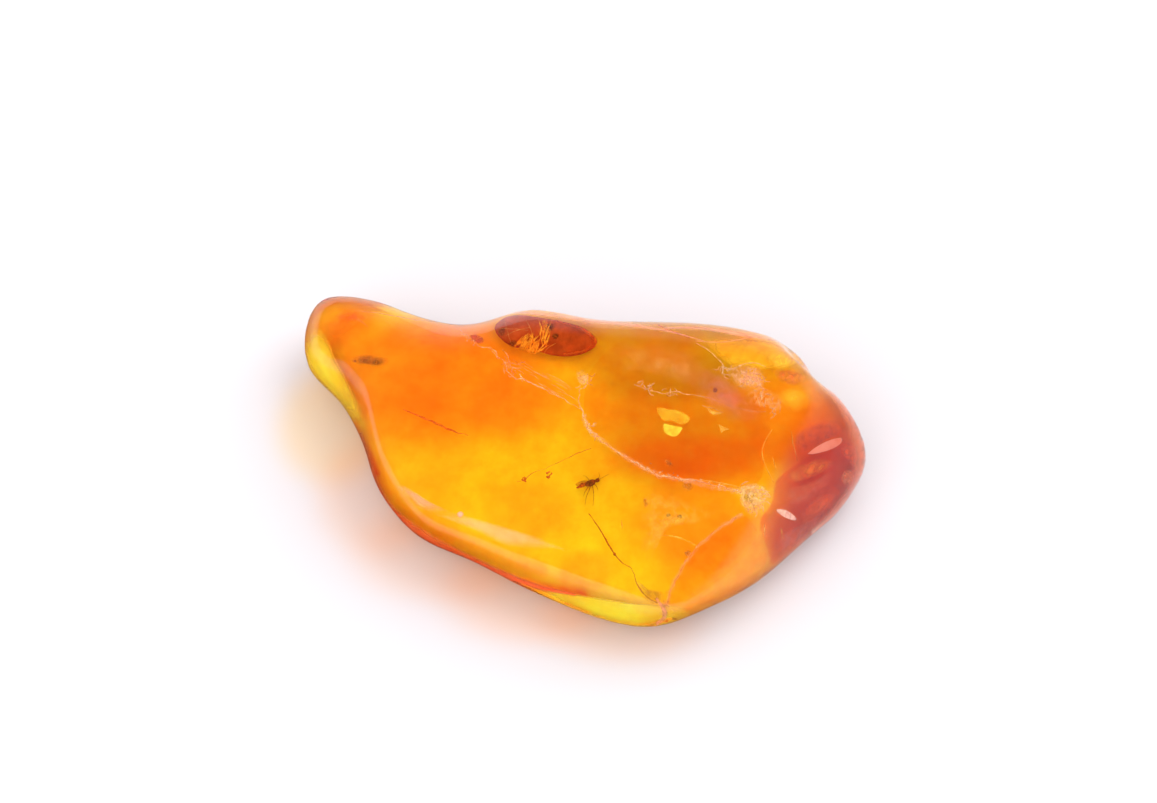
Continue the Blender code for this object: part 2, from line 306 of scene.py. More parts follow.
def layStrand(name, route, widths, depth=0.0, thick=0.05, sides=8, steps=60, wander=0.0, rag=0.0, grain=0.5,
              seed=0, lift=None):
    # a flattened strand along view pixels; widths at its start, middle and end, and the rest, in mm
    bpy.ops.mesh.primitive_cylinder_add(vertices=sides, radius=1, depth=1, end_fill_type="NGON")
    piece = bpy.context.object
    piece.name = name
    setMode("EDIT")
    bpy.ops.mesh.select_all(action="DESELECT")
    setMode("OBJECT")
    for line in piece.data.edges:
        ends = [piece.data.vertices[k].co.z for k in line.vertices]
        line.select = abs(ends[0] - ends[1]) > 0.5
    setMode("EDIT", "EDGE")
    bpy.ops.mesh.subdivide(number_cuts=steps)
    setMode("OBJECT")
    line = smoothRoute(route)
    lengths = np.concatenate(([0], np.cumsum(np.hypot(*np.diff(line, axis=0).T))))
    fades = []
    for vertex in piece.data.vertices:
        along = (vertex.co.z + 0.5) * lengths[-1]
        before, at, after = (np.array([np.interp(along + step, lengths, line[:, k]) for k in (0, 1)])
                             for step in (-2, 0, 2))
        onward = after - before
        sideways = np.array((-onward[1], onward[0])) / math.hypot(*onward)
        place = along * pixelSize / mm / grain
        width = np.interp(vertex.co.z, (-0.5, 0.0, 0.5), widths) / 2
        width *= max(1 + rag * 2 * noise.noise(Vector((place, vertex.co.x * 2, seed * 5.1))), 0.12)
        shift = wander * noise.noise(Vector((place * 0.7, seed * 3.7, 4.2)))
        over = vertex.co.y * thick / 2 + wander * 0.5 * noise.noise(Vector((place, 8.1, seed * 2.9)))
        px, py = at + sideways * (vertex.co.x * width + shift) / (pixelSize / mm)
        fades.append(1 - abs(vertex.co.x))
        if lift is None:
            vertex.co = seenAt(px, py, max(depth - over, 0.03))
        else:
            vertex.co = seenAt(px, py, None, lift + over)
    keepFade(piece, fades)
    activate(piece)
    setMode("EDIT")
    bpy.ops.mesh.select_all(action="SELECT")
    bpy.ops.mesh.normals_make_consistent(inside=False)
    setMode("OBJECT")
    bpy.ops.object.shade_smooth()
    return piece


def scatterFlecks(name, route, count, size, spread, depth, seed):
    # small broken flakes strewn along a line of view pixels
    pick = random.Random(seed)
    line = smoothRoute(route)
    flakes = []
    for i in range(count):
        px, py = line[pick.randrange(len(line))]
        px += pick.gauss(0, spread)
        py += pick.gauss(0, spread)
        turn = pick.uniform(0, math.pi)
        long = size * pick.uniform(0.5, 1.4)
        outline = []
        for k in range(6):
            angle = turn + k * math.pi / 3
            reach = long * pick.uniform(0.4, 1.0) * (0.45 + 0.55 * abs(math.cos(k * math.pi / 3)))
            outline.append((px + math.cos(angle) * reach, py + math.sin(angle) * reach))
        below = depth + pick.uniform(0, 0.3)
        flakes.append(layLens(name, outline, below, long * 0.04, seed=i, segments=8, rings=4))
    return joinPieces(name, flakes)


def scribble(name, middle, reach, turn, count, size, widths, depth, seed, heading=None):
    # short curled scratches that fill an oval of view pixels, or straight ones that run one way
    pick = random.Random(seed)
    strokes = []
    for i in range(count):
        away = math.sqrt(pick.random())
        angle = pick.uniform(0, 2 * math.pi)
        along = math.cos(angle) * away * reach[0]
        aside = math.sin(angle) * away * reach[1]
        px = middle[0] + along * math.cos(turn) - aside * math.sin(turn)
        py = middle[1] + along * math.sin(turn) + aside * math.cos(turn)
        course = turn + pick.uniform(-1.3, 1.3) if heading is None else heading + pick.uniform(-0.4, 0.4)
        curl = pick.uniform(-0.9, 0.9) if heading is None else pick.uniform(-0.1, 0.1)
        route = [(px, py)]
        for k in range(3):
            stride = size * pick.uniform(0.2, 0.5)
            px += math.cos(course) * stride
            py += math.sin(course) * stride
            course += curl
            route.append((px, py))
        strokes.append(layStrand(name, route, widths, depth + pick.uniform(0, 0.2), 0.04, sides=5, steps=10,
                                 rag=0.4, seed=seed + i))
    return joinPieces(name, strokes)


def feed(socket, value):
    # gives an input a value of its own, or what another node puts out
    if isinstance(value, bpy.types.NodeSocket):
        socket.id_data.links.new(value, socket)
    else:
        socket.default_value = value


def addNode(tree, kind, inputs={}, **settings):
    # a shader node with its settings and what feeds its inputs; gives back its outputs
    node = tree.nodes.new("ShaderNode" + kind)
    for name, value in settings.items():
        setattr(node, name, value)
    for name, value in inputs.items():
        feed(node.inputs[name], value)
    return node.outputs


def multiply(tree, first, second):
    return addNode(tree, "Math", {0: first, 1: second}, operation="MULTIPLY")["Value"]


def blend(tree, share, under, over, way="MIX"):
    # one colour laid over another
    return addNode(tree, "Mix", {"Factor": share, "A": under, "B": over}, data_type="RGBA",
                   blend_type=way)["Result"]


def softStep(tree, value, start, end, lowest=0.0):
    # rises softly from the lowest to one, as the value goes from start to end
    inputs = {"Value": value, "From Min": start, "From Max": end, "To Min": lowest}
    return addNode(tree, "MapRange", inputs, interpolation_type="SMOOTHSTEP")["Result"]


def newGroup(name, inputs, outputs):
    # a node group, what it is given and what it puts out
    tree = bpy.data.node_groups.new(name, "ShaderNodeTree")
    for way, sockets in (("INPUT", inputs), ("OUTPUT", outputs)):
        for socket, kind in sockets.items():
            tree.interface.new_socket(socket, in_out=way, socket_type="NodeSocket" + kind)
    return tree, tree.nodes.new("NodeGroupInput").outputs, tree.nodes.new("NodeGroupOutput").inputs


def mottleGroup():
    # patchy colour between two shades, with its mask
    inputs = {"Dark": "Color", "Light": "Color", "Scale": "Float", "Balance": "Float", "Contrast": "Float"}
    tree, given, result = newGroup("mottle", inputs, {"Color": "Color", "Mask": "Float"})
    place = addNode(tree, "TexCoord")["Object"]
    grain = {"Vector": place, "Scale": given["Scale"], "Detail": 5.0, "Roughness": 0.62}
    patches = addNode(tree, "TexNoise", grain)["Fac"]
    ends = {0: given["Balance"], 1: given["Contrast"]}
    low = addNode(tree, "Math", ends, operation="SUBTRACT")["Value"]
    high = addNode(tree, "Math", ends, operation="ADD")["Value"]
    mask = softStep(tree, patches, low, high)
    feed(result["Color"], blend(tree, mask, given["Dark"], given["Light"]))
    feed(result["Mask"], mask)
    return tree


def veilGroup():
    # how solid a film is: it thins out to its edge and in patches
    inputs = {"Strength": "Float", "Soft Edge": "Float", "Scale": "Float", "Patchy": "Float"}
    tree, given, result = newGroup("veil", inputs, {"Alpha": "Float"})
    place = addNode(tree, "TexCoord")["Object"]
    fade = addNode(tree, "Attribute", attribute_name="fade")["Fac"]
    soft = softStep(tree, fade, 0.0, given["Soft Edge"])
    patches = addNode(tree, "TexNoise", {"Vector": place, "Scale": given["Scale"], "Detail": 4.0})["Fac"]
    thin = addNode(tree, "Math", {0: 1.0, 1: given["Patchy"]}, operation="SUBTRACT")["Value"]
    level = softStep(tree, patches, 0.35, 0.65, thin)
    feed(result["Alpha"], multiply(tree, multiply(tree, soft, level), given["Strength"]))
    return tree


def zoneGroup():
    # lays a soft colour over another within an oval body of space
    inputs = {"Under": "Color", "Zone": "Color", "Middle": "Vector", "Reach": "Vector"}
    tree, given, result = newGroup("colourZone", inputs, {"Color": "Color"})
    place = addNode(tree, "TexCoord")["Object"]
    offset = addNode(tree, "VectorMath", {0: place, 1: given["Middle"]}, operation="SUBTRACT")["Vector"]
    share = addNode(tree, "VectorMath", {0: offset, 1: given["Reach"]}, operation="DIVIDE")["Vector"]
    far = addNode(tree, "VectorMath", {0: share}, operation="LENGTH")["Value"]
    within = addNode(tree, "MapRange", {"Value": far, "From Min": 1.25, "From Max": 0.45},
                     interpolation_type="SMOOTHERSTEP")["Result"]
    feed(result["Color"], blend(tree, within, given["Under"], given["Zone"], "MULTIPLY"))
    return tree


def addZones(tree, under, zones, findPlace):
    # tints a colour within ovals of space, one after another
    for pixel, reach, colour in zones.values():
        inputs = {"Under": under, "Zone": (*colour, 1), "Middle": findPlace(*pixel),
                  "Reach": Vector(reach) * mm}
        under = addNode(tree, "Group", inputs, node_tree=zoneTree)["Color"]
    return under


def addMottle(tree, dark, light, size, balance, contrast):
    inputs = {"Dark": (*dark, 1), "Light": (*light, 1), "Scale": 1 / (size * mm), "Balance": balance,
              "Contrast": contrast}
    return addNode(tree, "Group", inputs, node_tree=mottleTree)


def newMaterial(name, inputs):
    # a material, its nodes, and its shader's inputs, some of them with a value of their own
    material = bpy.data.materials.new(name)
    material.use_nodes = True
    shader = material.node_tree.nodes["Principled BSDF"].inputs
    for socket, value in inputs.items():
        shader[socket].default_value = value
    return material, material.node_tree, shader


def absorb(tree, colour, density):
    volume = addNode(tree, "VolumeAbsorption", {"Color": (*colour, 1), "Density": density})["Volume"]
    feed(tree.nodes["Material Output"].inputs["Volume"], volume)


def amberMaterial():
    glass = {"Roughness": amber["roughness"], "IOR": amber["ior"], "Transmission Weight": 1.0}
    material, tree, shader = newMaterial("clearAmber", glass)
    absorb(tree, amber["absorbColour"], amber["absorbDensity"])
    under = addZones(tree, (*white, 1), amber["zones"], lambda px, py: seenAt(px, py, 0.0))
    for size, dark in amber["clouds"]:
        clouds = addMottle(tree, dark, white, size, amber["cloudShare"], amber["cloudEdge"])
        under = blend(tree, 1.0, under, clouds["Color"], "MULTIPLY")
    feed(shader["Base Color"], under)
    return material


finishes = {
    # dark and light colour, size of the patches in mm, balance, contrast, roughness, bump in mm
    "seamCrust": ((0.95, 0.56, 0.30), (1.0, 0.84, 0.66), 0.35, 0.50, 0.12, 0.6, 0.01),
    "paleCrust": ((0.92, 0.62, 0.28), (1.0, 0.88, 0.66), 0.30, 0.48, 0.10, 0.6, 0.02),
    "oliveCrust": ((0.45, 0.30, 0.03), (0.80, 0.62, 0.16), 0.30, 0.48, 0.12, 0.6, 0.03),
    "veinCrust": ((0.80, 0.40, 0.18), (1.0, 0.62, 0.34), 0.50, 0.50, 0.15, 0.6, 0.01),
    "redCrack": ((0.55, 0.07, 0.01), (0.85, 0.22, 0.03), 0.60, 0.50, 0.15, 0.5, 0.01),
    "redBand": ((1.0, 0.14, 0.04), (1.0, 0.26, 0.07), 1.60, 0.50, 0.20, 0.4, 0.003),
    "brownEdge": ((0.30, 0.10, 0.02), (0.65, 0.26, 0.03), 0.60, 0.50, 0.15, 0.5, 0.01),
    "brightCrack": ((1.0, 0.42, 0.03), (1.0, 0.72, 0.14), 0.50, 0.45, 0.15, 0.4, 0.01),
    "yellowWindow": ((1.0, 0.80, 0.03), (1.0, 0.92, 0.08), 0.80, 0.45, 0.20, 0.4, 0.005),
    "darkSpeck": ((0.10, 0.035, 0.01), (0.30, 0.10, 0.02), 0.20, 0.50, 0.12, 0.7, 0.02),
    "pinkSheen": ((0.98, 0.52, 0.38), (1.0, 0.66, 0.52), 0.80, 0.50, 0.20, 0.3, 0.004),
    # painted highlight
    "leafSheen": ((1.0, 0.72, 0.68), (1.0, 0.82, 0.80), 0.60, 0.50, 0.20, 0.3, 0.005),
    "plumSheen": ((0.52, 0.10, 0.12), (0.75, 0.22, 0.22), 1.20, 0.50, 0.20, 0.3, 0.01),
    "peachSheen": ((1.0, 0.68, 0.32), (1.0, 0.76, 0.40), 1.50, 0.50, 0.20, 0.3, 0.002),
    # painted reflection along the rims
    "rimSheen": ((1.0, 0.72, 0.58), (1.0, 0.84, 0.76), 1.50, 0.50, 0.20, 0.3, 0.002),
    "amberGlow": ((1.0, 0.84, 0.03), (1.0, 0.97, 0.05), 3.00, 0.48, 0.20, 0.6, 0.02),
    "goldGlow": ((1.0, 0.74, 0.04), (1.0, 0.95, 0.08), 2.00, 0.50, 0.20, 0.6, 0.02),
    # painted caustic light
    "brightGold": ((1.0, 0.92, 0.03), (1.0, 0.98, 0.06), 1.50, 0.50, 0.20, 0.6, 0.002),
    "deepGlow": ((0.95, 0.20, 0.02), (1.0, 0.34, 0.03), 1.60, 0.50, 0.16, 0.6, 0.02),
    "chitin": ((0.10, 0.022, 0.006), (0.34, 0.08, 0.015), 0.12, 0.52, 0.12, 0.45, 0.015),
    "redChitin": ((0.30, 0.05, 0.01), (0.58, 0.14, 0.02), 0.15, 0.50, 0.12, 0.45, 0.015),
    "plantFibre": ((0.28, 0.07, 0.01), (0.50, 0.16, 0.02), 0.20, 0.50, 0.12, 0.6, 0.01),
    "husk": ((0.27, 0.042, 0.020), (0.48, 0.088, 0.040), 1.10, 0.50, 0.22, 0.45, 0.02),
    "huskRim": ((0.52, 0.09, 0.03), (0.80, 0.22, 0.08), 0.70, 0.50, 0.14, 0.45, 0.02),
    "bark": ((0.34, 0.15, 0.06), (0.58, 0.28, 0.10), 0.40, 0.50, 0.16, 0.8, 0.02),
}


def addMarks(tree, under, marks):
    # tints a colour along the soft bands that a piece keeps as attributes
    for band, (_, _, colour) in marks.items():
        near = addNode(tree, "Attribute", attribute_name=band)["Fac"]
        under = blend(tree, softStep(tree, near, 0.0, 1.0), under, (*colour, 1))
    return under


def makeFinish(name, alpha=None, tints={}, lift=0.0, marks={}):
    # alpha: strength, soft edge, size of the patches in mm, patchiness
    dark, light, size, balance, contrast, roughness, bump = finishes[name]
    material, tree, shader = newMaterial(name + ("Veil" if alpha else ""), {})
    mottle = addMottle(tree, dark, light, size, balance, contrast)
    under = addZones(tree, mottle["Color"], tints, lambda px, py: seenAt(px, py, None, lift))
    rough = addNode(tree, "MapRange", {"Value": mottle["Mask"], "To Min": min(roughness + 0.1, 1.0),
                                       "To Max": roughness - 0.1})
    feed(shader["Base Color"], addMarks(tree, under, marks))
    feed(shader["Roughness"], rough["Result"])
    raised = addNode(tree, "Bump", {"Height": mottle["Mask"], "Distance": bump * mm})
    feed(shader["Normal"], raised["Normal"])
    if alpha:
        strength, edge, patch, patchy = alpha
        inputs = {"Strength": strength, "Soft Edge": edge, "Scale": 1 / (patch * mm), "Patchy": patchy}
        feed(shader["Alpha"], addNode(tree, "Group", inputs, node_tree=veilTree)["Alpha"])
    return material


def dress(piece, material, replaced=None):
    piece.data.materials.clear()
    piece.data.materials.append(material)
    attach(piece, "root")
    if replaced:
        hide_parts(replaced)
    print(piece.name + ":", len(piece.data.polygons), "faces")


def layGroup(name, lay, rows, material, seed=0, slot="amber", replaced=None, **shape):
    # strands or lenses laid from rows of what follows their name, joined in one piece
    parts = []
    for i, row in enumerate(rows):
        parts.append(lay(name, *row, seed=seed + i, **shape))
    dress(joinPieces(name, parts), material, replaced)


seam = {
    # view pixels, widths in mm and how ragged
    "strokes": [
        ([(462, 331), (470, 338), (479, 346), (490, 348), (497, 357), (504, 362), (509, 373), (516, 379),
          (527, 380), (537, 386)], (0.06, 0.15, 0.12), 0.95),
        ([(537, 386), (555, 395), (567, 401), (577, 407), (583, 413)], (0.12, 0.09, 0.07), 0.7),
        ([(588, 374), (586, 385), (580, 391), (579, 400), (583, 413), (586, 421)], (0.10, 0.09, 0.14), 0.6),
        ([(586, 421), (587, 427), (593, 433), (601, 441), (612, 448), (625, 456), (640, 465)],
         (0.20, 0.10, 0.14), 0.9),
        ([(640, 465), (655, 474), (678, 479), (700, 482), (722, 487), (742, 491)], (0.22, 0.18, 0.08), 1.0),
        ([(503, 349), (508, 355), (510, 362), (517, 364), (525, 361)], (0.08, 0.15, 0.05), 0.9),
        ([(489, 346), (494, 350), (498, 358)], (0.06, 0.16, 0.05), 0.6),
    ],
    "strokeShape": {"depth": 0.25, "thick": 0.1, "steps": 110, "wander": 0.16, "grain": 0.3},
    "strokeVeil": (0.70, 0.8, 0.25, 0.8),
    "halo": [(584, 414), (587, 427), (601, 441), (625, 456), (655, 474), (700, 484), (740, 492)],
    "haloShape": {"widths": (0.5, 0.6, 0.5), "depth": 0.4, "steps": 90, "wander": 0.1, "rag": 0.5,
                  "seed": 9},
    "haloVeil": (0.22, 0.9, 0.5, 0.8),
    "flecks": [((636, 462), (680, 479)), ((646, 468), (674, 476)), ((700, 482), (738, 490)),
               ((462, 332), (474, 344)), ((505, 362), (523, 380)), ((584, 418), (594, 436))],
    "fleckShape": {"count": 14, "size": 1.9, "spread": 1.4, "depth": 0.15},
    "fleckVeil": (0.8, 1.0, 0.3, 0.3),
}


def makeSeam():
    strokes = []
    for i, (route, widths, rag) in enumerate(seam["strokes"]):
        strokes.append(layStrand("seamCrust", route, widths, rag=rag, seed=1 + i, **seam["strokeShape"]))
    dress(joinPieces("seamCrust", strokes), makeFinish("seamCrust", seam["strokeVeil"]))
    halo = layStrand("seamHalo", seam["halo"], **seam["haloShape"])
    dress(halo, makeFinish("pinkSheen", seam["haloVeil"]))
    layGroup("seamFlecks", scatterFlecks, zip(seam["flecks"]), makeFinish("paleCrust", seam["fleckVeil"]),
             10, **seam["fleckShape"])


vein = {
    "route": [(743, 514), (732, 520), (723, 526), (711, 535), (700, 544), (693, 553), (686, 562),
              (679, 574), (673, 585), (669, 596), (666, 606), (662, 616)],
    "line": {"widths": (0.22, 0.13, 0.24), "depth": 0.2, "steps": 160, "wander": 0.14, "rag": 1.0,
             "grain": 0.4, "seed": 7},
    "lineVeil": (0.42, 1.0, 0.4, 0.7),
    "halo": {"widths": (0.5, 0.5, 0.7), "depth": 0.3, "thick": 0.04, "rag": 0.4, "seed": 8},
    "haloVeil": (0.25, 1.0, 0.6, 0.6),
    "tail": [(662, 598), (669, 598), (671, 606), (667, 618), (660, 621), (658, 612)],
    "tailShape": {"depth": 0.35, "thick": 0.06, "rough": 0.3, "seed": 3},
    "tailVeil": (0.45, 0.9, 0.5, 0.5),
}


def makeVein():
    line = layStrand("veinLine", vein["route"], **vein["line"])
    dress(line, makeFinish("veinCrust", vein["lineVeil"]))
    halo = layStrand("veinHalo", vein["route"], **vein["halo"])
    dress(halo, makeFinish("veinCrust", vein["haloVeil"]))
    tail = layLens("veinTail", vein["tail"], **vein["tailShape"])
    dress(tail, makeFinish("plumSheen", vein["tailVeil"]))


cracks = {
    "red": [
        ([(403, 409), (428, 420), (446, 428), (468, 436)], (0.08, 0.30, 0.06), 1.2),
        ([(591, 448), (574, 455), (559, 462), (547, 468)], (0.08, 0.08, 0.05), 1.2),
        ([(547, 468), (534, 472), (526, 479), (517, 482)], (0.05, 0.07, 0.03), 1.2),
    ],
    "bright": [
        ([(772, 430), (764, 444), (762, 453), (765, 466), (770, 475), (773, 482)], (0.08, 0.16, 0.05), 0.8),
        ([(791, 431), (793, 444), (797, 461)], (0.05, 0.14, 0.05), 0.8),
        ([(773, 457), (776, 468)], (0.05, 0.12, 0.04), 1.0),
        ([(764, 524), (765, 537)], (0.06, 0.18, 0.05), 0.8),
        ([(781, 528), (783, 540)], (0.04, 0.14, 0.04), 0.8),
        ([(659, 535), (677, 537), (697, 546)], (0.08, 0.16, 0.10), 1.0),
        ([(622, 520), (622, 529)], (0.05, 0.16, 0.05), 1.0),
        ([(700, 479), (715, 482), (739, 487)], (0.10, 0.20, 0.08), 0.5),
    ],
    "pale": [
        ([(353, 316), (360, 321), (368, 327)], (0.03, 0.09, 0.03), 0.3),
        ([(355, 310), (379, 313), (401, 317), (418, 320), (440, 322)], (0.04, 0.09, 0.04), 0.12),
        ([(634, 384), (643, 388), (657, 392), (664, 394), (676, 391), (687, 394), (706, 397), (718, 401),
          (733, 407), (752, 411), (766, 412)], (0.06, 0.08, 0.05), 0.5),
        ([(702, 405), (712, 408), (723, 413)], (0.05, 0.10, 0.04), 1.2),
    ],
    "finishes": {"red": "redCrack", "bright": "brightCrack", "pale": "seamCrust"},
    "shape": {"thick": 0.06, "sides": 6, "wander": 0.08, "rag": 0.4},
    "veil": (0.75, 0.8, 0.4, 0.5),
}


def makeCracks():
    for i, (kind, finish) in enumerate(cracks["finishes"].items()):
        layGroup(kind + "Cracks", layStrand, cracks[kind], makeFinish(finish, cracks["veil"]), 20 + 10 * i,
                 **cracks["shape"])


windows = {
    # small crack flats in the resin, whose bright yellow is painted light showing through them: outline in
    # view pixels, depth in mm, finish
    "outlines": [
        ([(663, 423.5), (667, 424), (676, 426), (683, 427), (682, 430), (677, 436.5), (670, 436),
          (664, 432)], 0.7, "yellowWindow"),
        ([(657, 407), (668, 409), (678, 410), (689, 416), (690, 421), (682, 425), (672, 421), (664, 421),
          (658, 414)], 0.8, "goldGlow"),
        ([(706, 407), (716, 412), (723, 413), (714, 415), (709, 412)], 0.5, "brightCrack"),
        ([(718, 424), (724, 427), (730, 429), (724, 431), (721, 433), (720, 429)], 0.7, "brightCrack"),
    ],
    "strengths": {"yellowWindow": 0.95, "goldGlow": 0.32, "brightCrack": 0.32},
    "veil": (0.12, 0.5, 0.3),  # soft edge, patches in mm, patchiness
    "shape": {"thick": 0.03, "rough": 0.1, "rings": 12},
}


def makeWindows():
    for finish, strength in windows["strengths"].items():
        panes = []
        for i, (outline, depth, kind) in enumerate(windows["outlines"]):
            if kind == finish:
                panes.append(layLens("pane", outline, depth, seed=i, **windows["shape"]))
        dress(joinPieces(finish + "Panes", panes), makeFinish(finish, (strength, *windows["veil"])))


crust = {
    # the old resin where two flows meet: outline in view pixels, depth and thickness in mm, finish, alpha
    "films": [
        ([(736, 489), (744, 483), (758, 482), (767, 487), (768, 500), (763, 510), (752, 517), (742, 509),
          (738, 499)], 0.5, 0.5, "paleCrust", (0.45, 0.4, 0.3, 0.8)),
        ([(742, 492), (752, 489), (757, 496), (752, 504), (744, 501)], 0.4, 0.3, "oliveCrust",
         (0.45, 0.6, 0.25, 0.6)),
        ([(840, 478), (844, 470), (851, 469), (855, 476), (850, 485), (843, 485)], 0.35, 0.4, "paleCrust",
         (0.40, 0.5, 0.25, 0.7)),
        ([(575, 372), (582, 369), (588, 373), (589, 380), (584, 387), (578, 383)], 0.5, 0.1, "paleCrust",
         (0.5, 0.6, 0.4, 0.8)),
    ],
    # middle, reach, turn, how many, size in view pixels, widths and depth in mm
    "scribbles": [
        ((752, 498), (13, 13), 0.4, 34, 8, (0.05, 0.14, 0.04), 0.35),
        ((848, 477), (6, 7), 0.4, 12, 5, (0.05, 0.12, 0.04), 0.25),
        ((750, 376), (12, 9), 0.5, 26, 8, (0.05, 0.13, 0.04), 0.25),
        ((766, 398), (18, 7), 0.65, 20, 8, (0.04, 0.11, 0.04), 0.25),
        ((722, 371), (6, 5), 0.9, 6, 8, (0.05, 0.12, 0.05), 0.25),
        ((745, 488), (8, 4), 0.2, 6, 8, (0.05, 0.13, 0.05), 0.3),
        ((644, 387), (11, 3), 0.3, 12, 6, (0.05, 0.12, 0.05), 0.4),
        ((668, 393), (9, 2), 0.15, 7, 6, (0.04, 0.10, 0.04), 0.4),
        ((583, 378), (6, 7), 1.2, 8, 7, (0.05, 0.11, 0.05), 0.4),
        ((590, 430), (4, 9), -0.5, 8, 6, (0.05, 0.12, 0.05), 0.3),
        ((508, 368), (9, 5), 0.9, 10, 8, (0.05, 0.13, 0.05), 0.3),
    ],
    "filmShape": {"rough": 0.9, "grain": 0.6, "segments": 48, "rings": 16},
    "scribbleVeil": (0.6, 0.7, 0.3, 0.4),
}


def makeCrust():
    for i, (outline, depth, thick, finish, alpha) in enumerate(crust["films"]):
        film = layLens("crustFilm", outline, depth, thick, seed=30 + i, **crust["filmShape"])
        dress(film, makeFinish(finish, alpha))
    scratches = []
    for i, row in enumerate(crust["scribbles"]):
        scratches.append(scribble("crustScratches", *row, 130 + 50 * i))
    dress(joinPieces("crustScratches", scratches), makeFinish("seamCrust", crust["scribbleVeil"]))


specks = {
    # outline in view pixels and depth in mm
    "dots": [
        ([(666, 514), (669, 513), (671, 515), (669, 518), (666, 517)], 1.2),
        ([(677, 515), (681, 514), (683, 517), (680, 519), (677, 518)], 1.2),
        ([(713, 388), (716, 387), (718, 390), (716, 393), (713, 392)], 0.6),
    ],
    "smudges": [
        ([(682, 481), (690, 480), (695, 485), (690, 492), (683, 490)], 0.9),
        ([(642, 498), (647, 497), (649, 505), (645, 509)], 1.2),
        ([(683, 552), (689, 549), (693, 554), (687, 558)], 0.5),
        ([(663, 458), (670, 460), (674, 466), (668, 467)], 0.9),
    ],
    # middle and radius in view pixels
    "rings": [((548.4, 474.4), 2.6), ((524.5, 479.5), 1.6)],
    "dotShape": {"thick": 0.16, "rough": 0.9, "grain": 0.3, "segments": 16, "rings": 8},
    "dotVeil": (0.8, 0.5, 0.2, 0.3),
    "smudgeShape": {"thick": 0.12, "rough": 0.9, "grain": 0.4, "segments": 24},
    "smudgeVeil": (0.6, 0.8, 0.3, 0.7),
    "ringShape": {"count": 16, "size": 1.9, "spread": 0.4, "depth": 1.4},
    "ringVeil": (0.9, 0.5, 0.2, 0.2),
}


def makeSpecks():
    layGroup("darkSpecks", layLens, specks["dots"], makeFinish("darkSpeck", specks["dotVeil"]), 50,
             **specks["dotShape"])
    layGroup("darkSmudges", layLens, specks["smudges"], makeFinish("brownEdge", specks["smudgeVeil"]), 56,
             **specks["smudgeShape"])
    rings = []
    for (px, py), radius in specks["rings"]:
        turns = [k * math.pi / 4 for k in range(9)]
        rings.append([(px + math.cos(turn) * radius, py + math.sin(turn) * radius) for turn in turns])
    layGroup("ringSpecks", scatterFlecks, zip(rings), makeFinish("redCrack", specks["ringVeil"]), 70,
             **specks["ringShape"])


flows = {
    # outline, depth and thickness in mm, how soft its edge is, light let through, absorption, patches
    "duskyFlow": ([(590, 372), (584, 400), (587, 426), (602, 441), (640, 464), (680, 478), (740, 489),
                   (762, 478), (764, 445), (772, 418), (764, 395), (736, 385), (722, 364), (698, 342),
                   (655, 330), (615, 345)], 2.2, 2.0, 0.7, (0.85, 0.55, 0.0), 110, 3.0),
    "ovalFlow": ([(742, 516), (723, 527), (700, 545), (686, 563), (674, 586), (668, 604), (690, 606),
                  (720, 600), (745, 588), (762, 570), (767, 556), (760, 537), (750, 520)],
                 2.2, 2.4, 0.7, (0.99, 0.50, 0.0), 110, 2.0),
    "redFlow": ([(778, 478), (800, 462), (822, 448), (845, 440), (862, 452), (864, 478), (856, 500),
                 (840, 520), (800, 550), (774, 566), (768, 550), (763, 536), (760, 520), (770, 505),
                 (774, 490)], 2.0, 2.6, 0.8, (0.88, 0.15, 0.0), 420, 1.6),
}
flowShape = {"rough": 0.15, "grain": 4.0, "segments": 64, "rings": 16}
flowClouds = {"dark": (1.0, 0.78, 0.62), "light": white, "balance": 0.48, "contrast": 0.2}


def flowMaterial(name, through, density, patch):
    # a stretch of darker resin: nothing but more absorption, with faint clouds at its skin
    material, tree, shader = newMaterial(name, {"Roughness": 0.0, "IOR": 1.0, "Transmission Weight": 1.0})
    clouds = addMottle(tree, size=patch, **flowClouds)
    feed(shader["Base Color"], clouds["Color"])
    absorb(tree, through, density)
    return material


def makeFlows():
    for i, (name, (outline, depth, thick, edge, through, density, patch)) in enumerate(flows.items()):
        flow = layLens(name, outline, depth, thick, edge=edge, seed=60 + i, **flowShape)
        dress(flow, flowMaterial(name, through, density, patch))


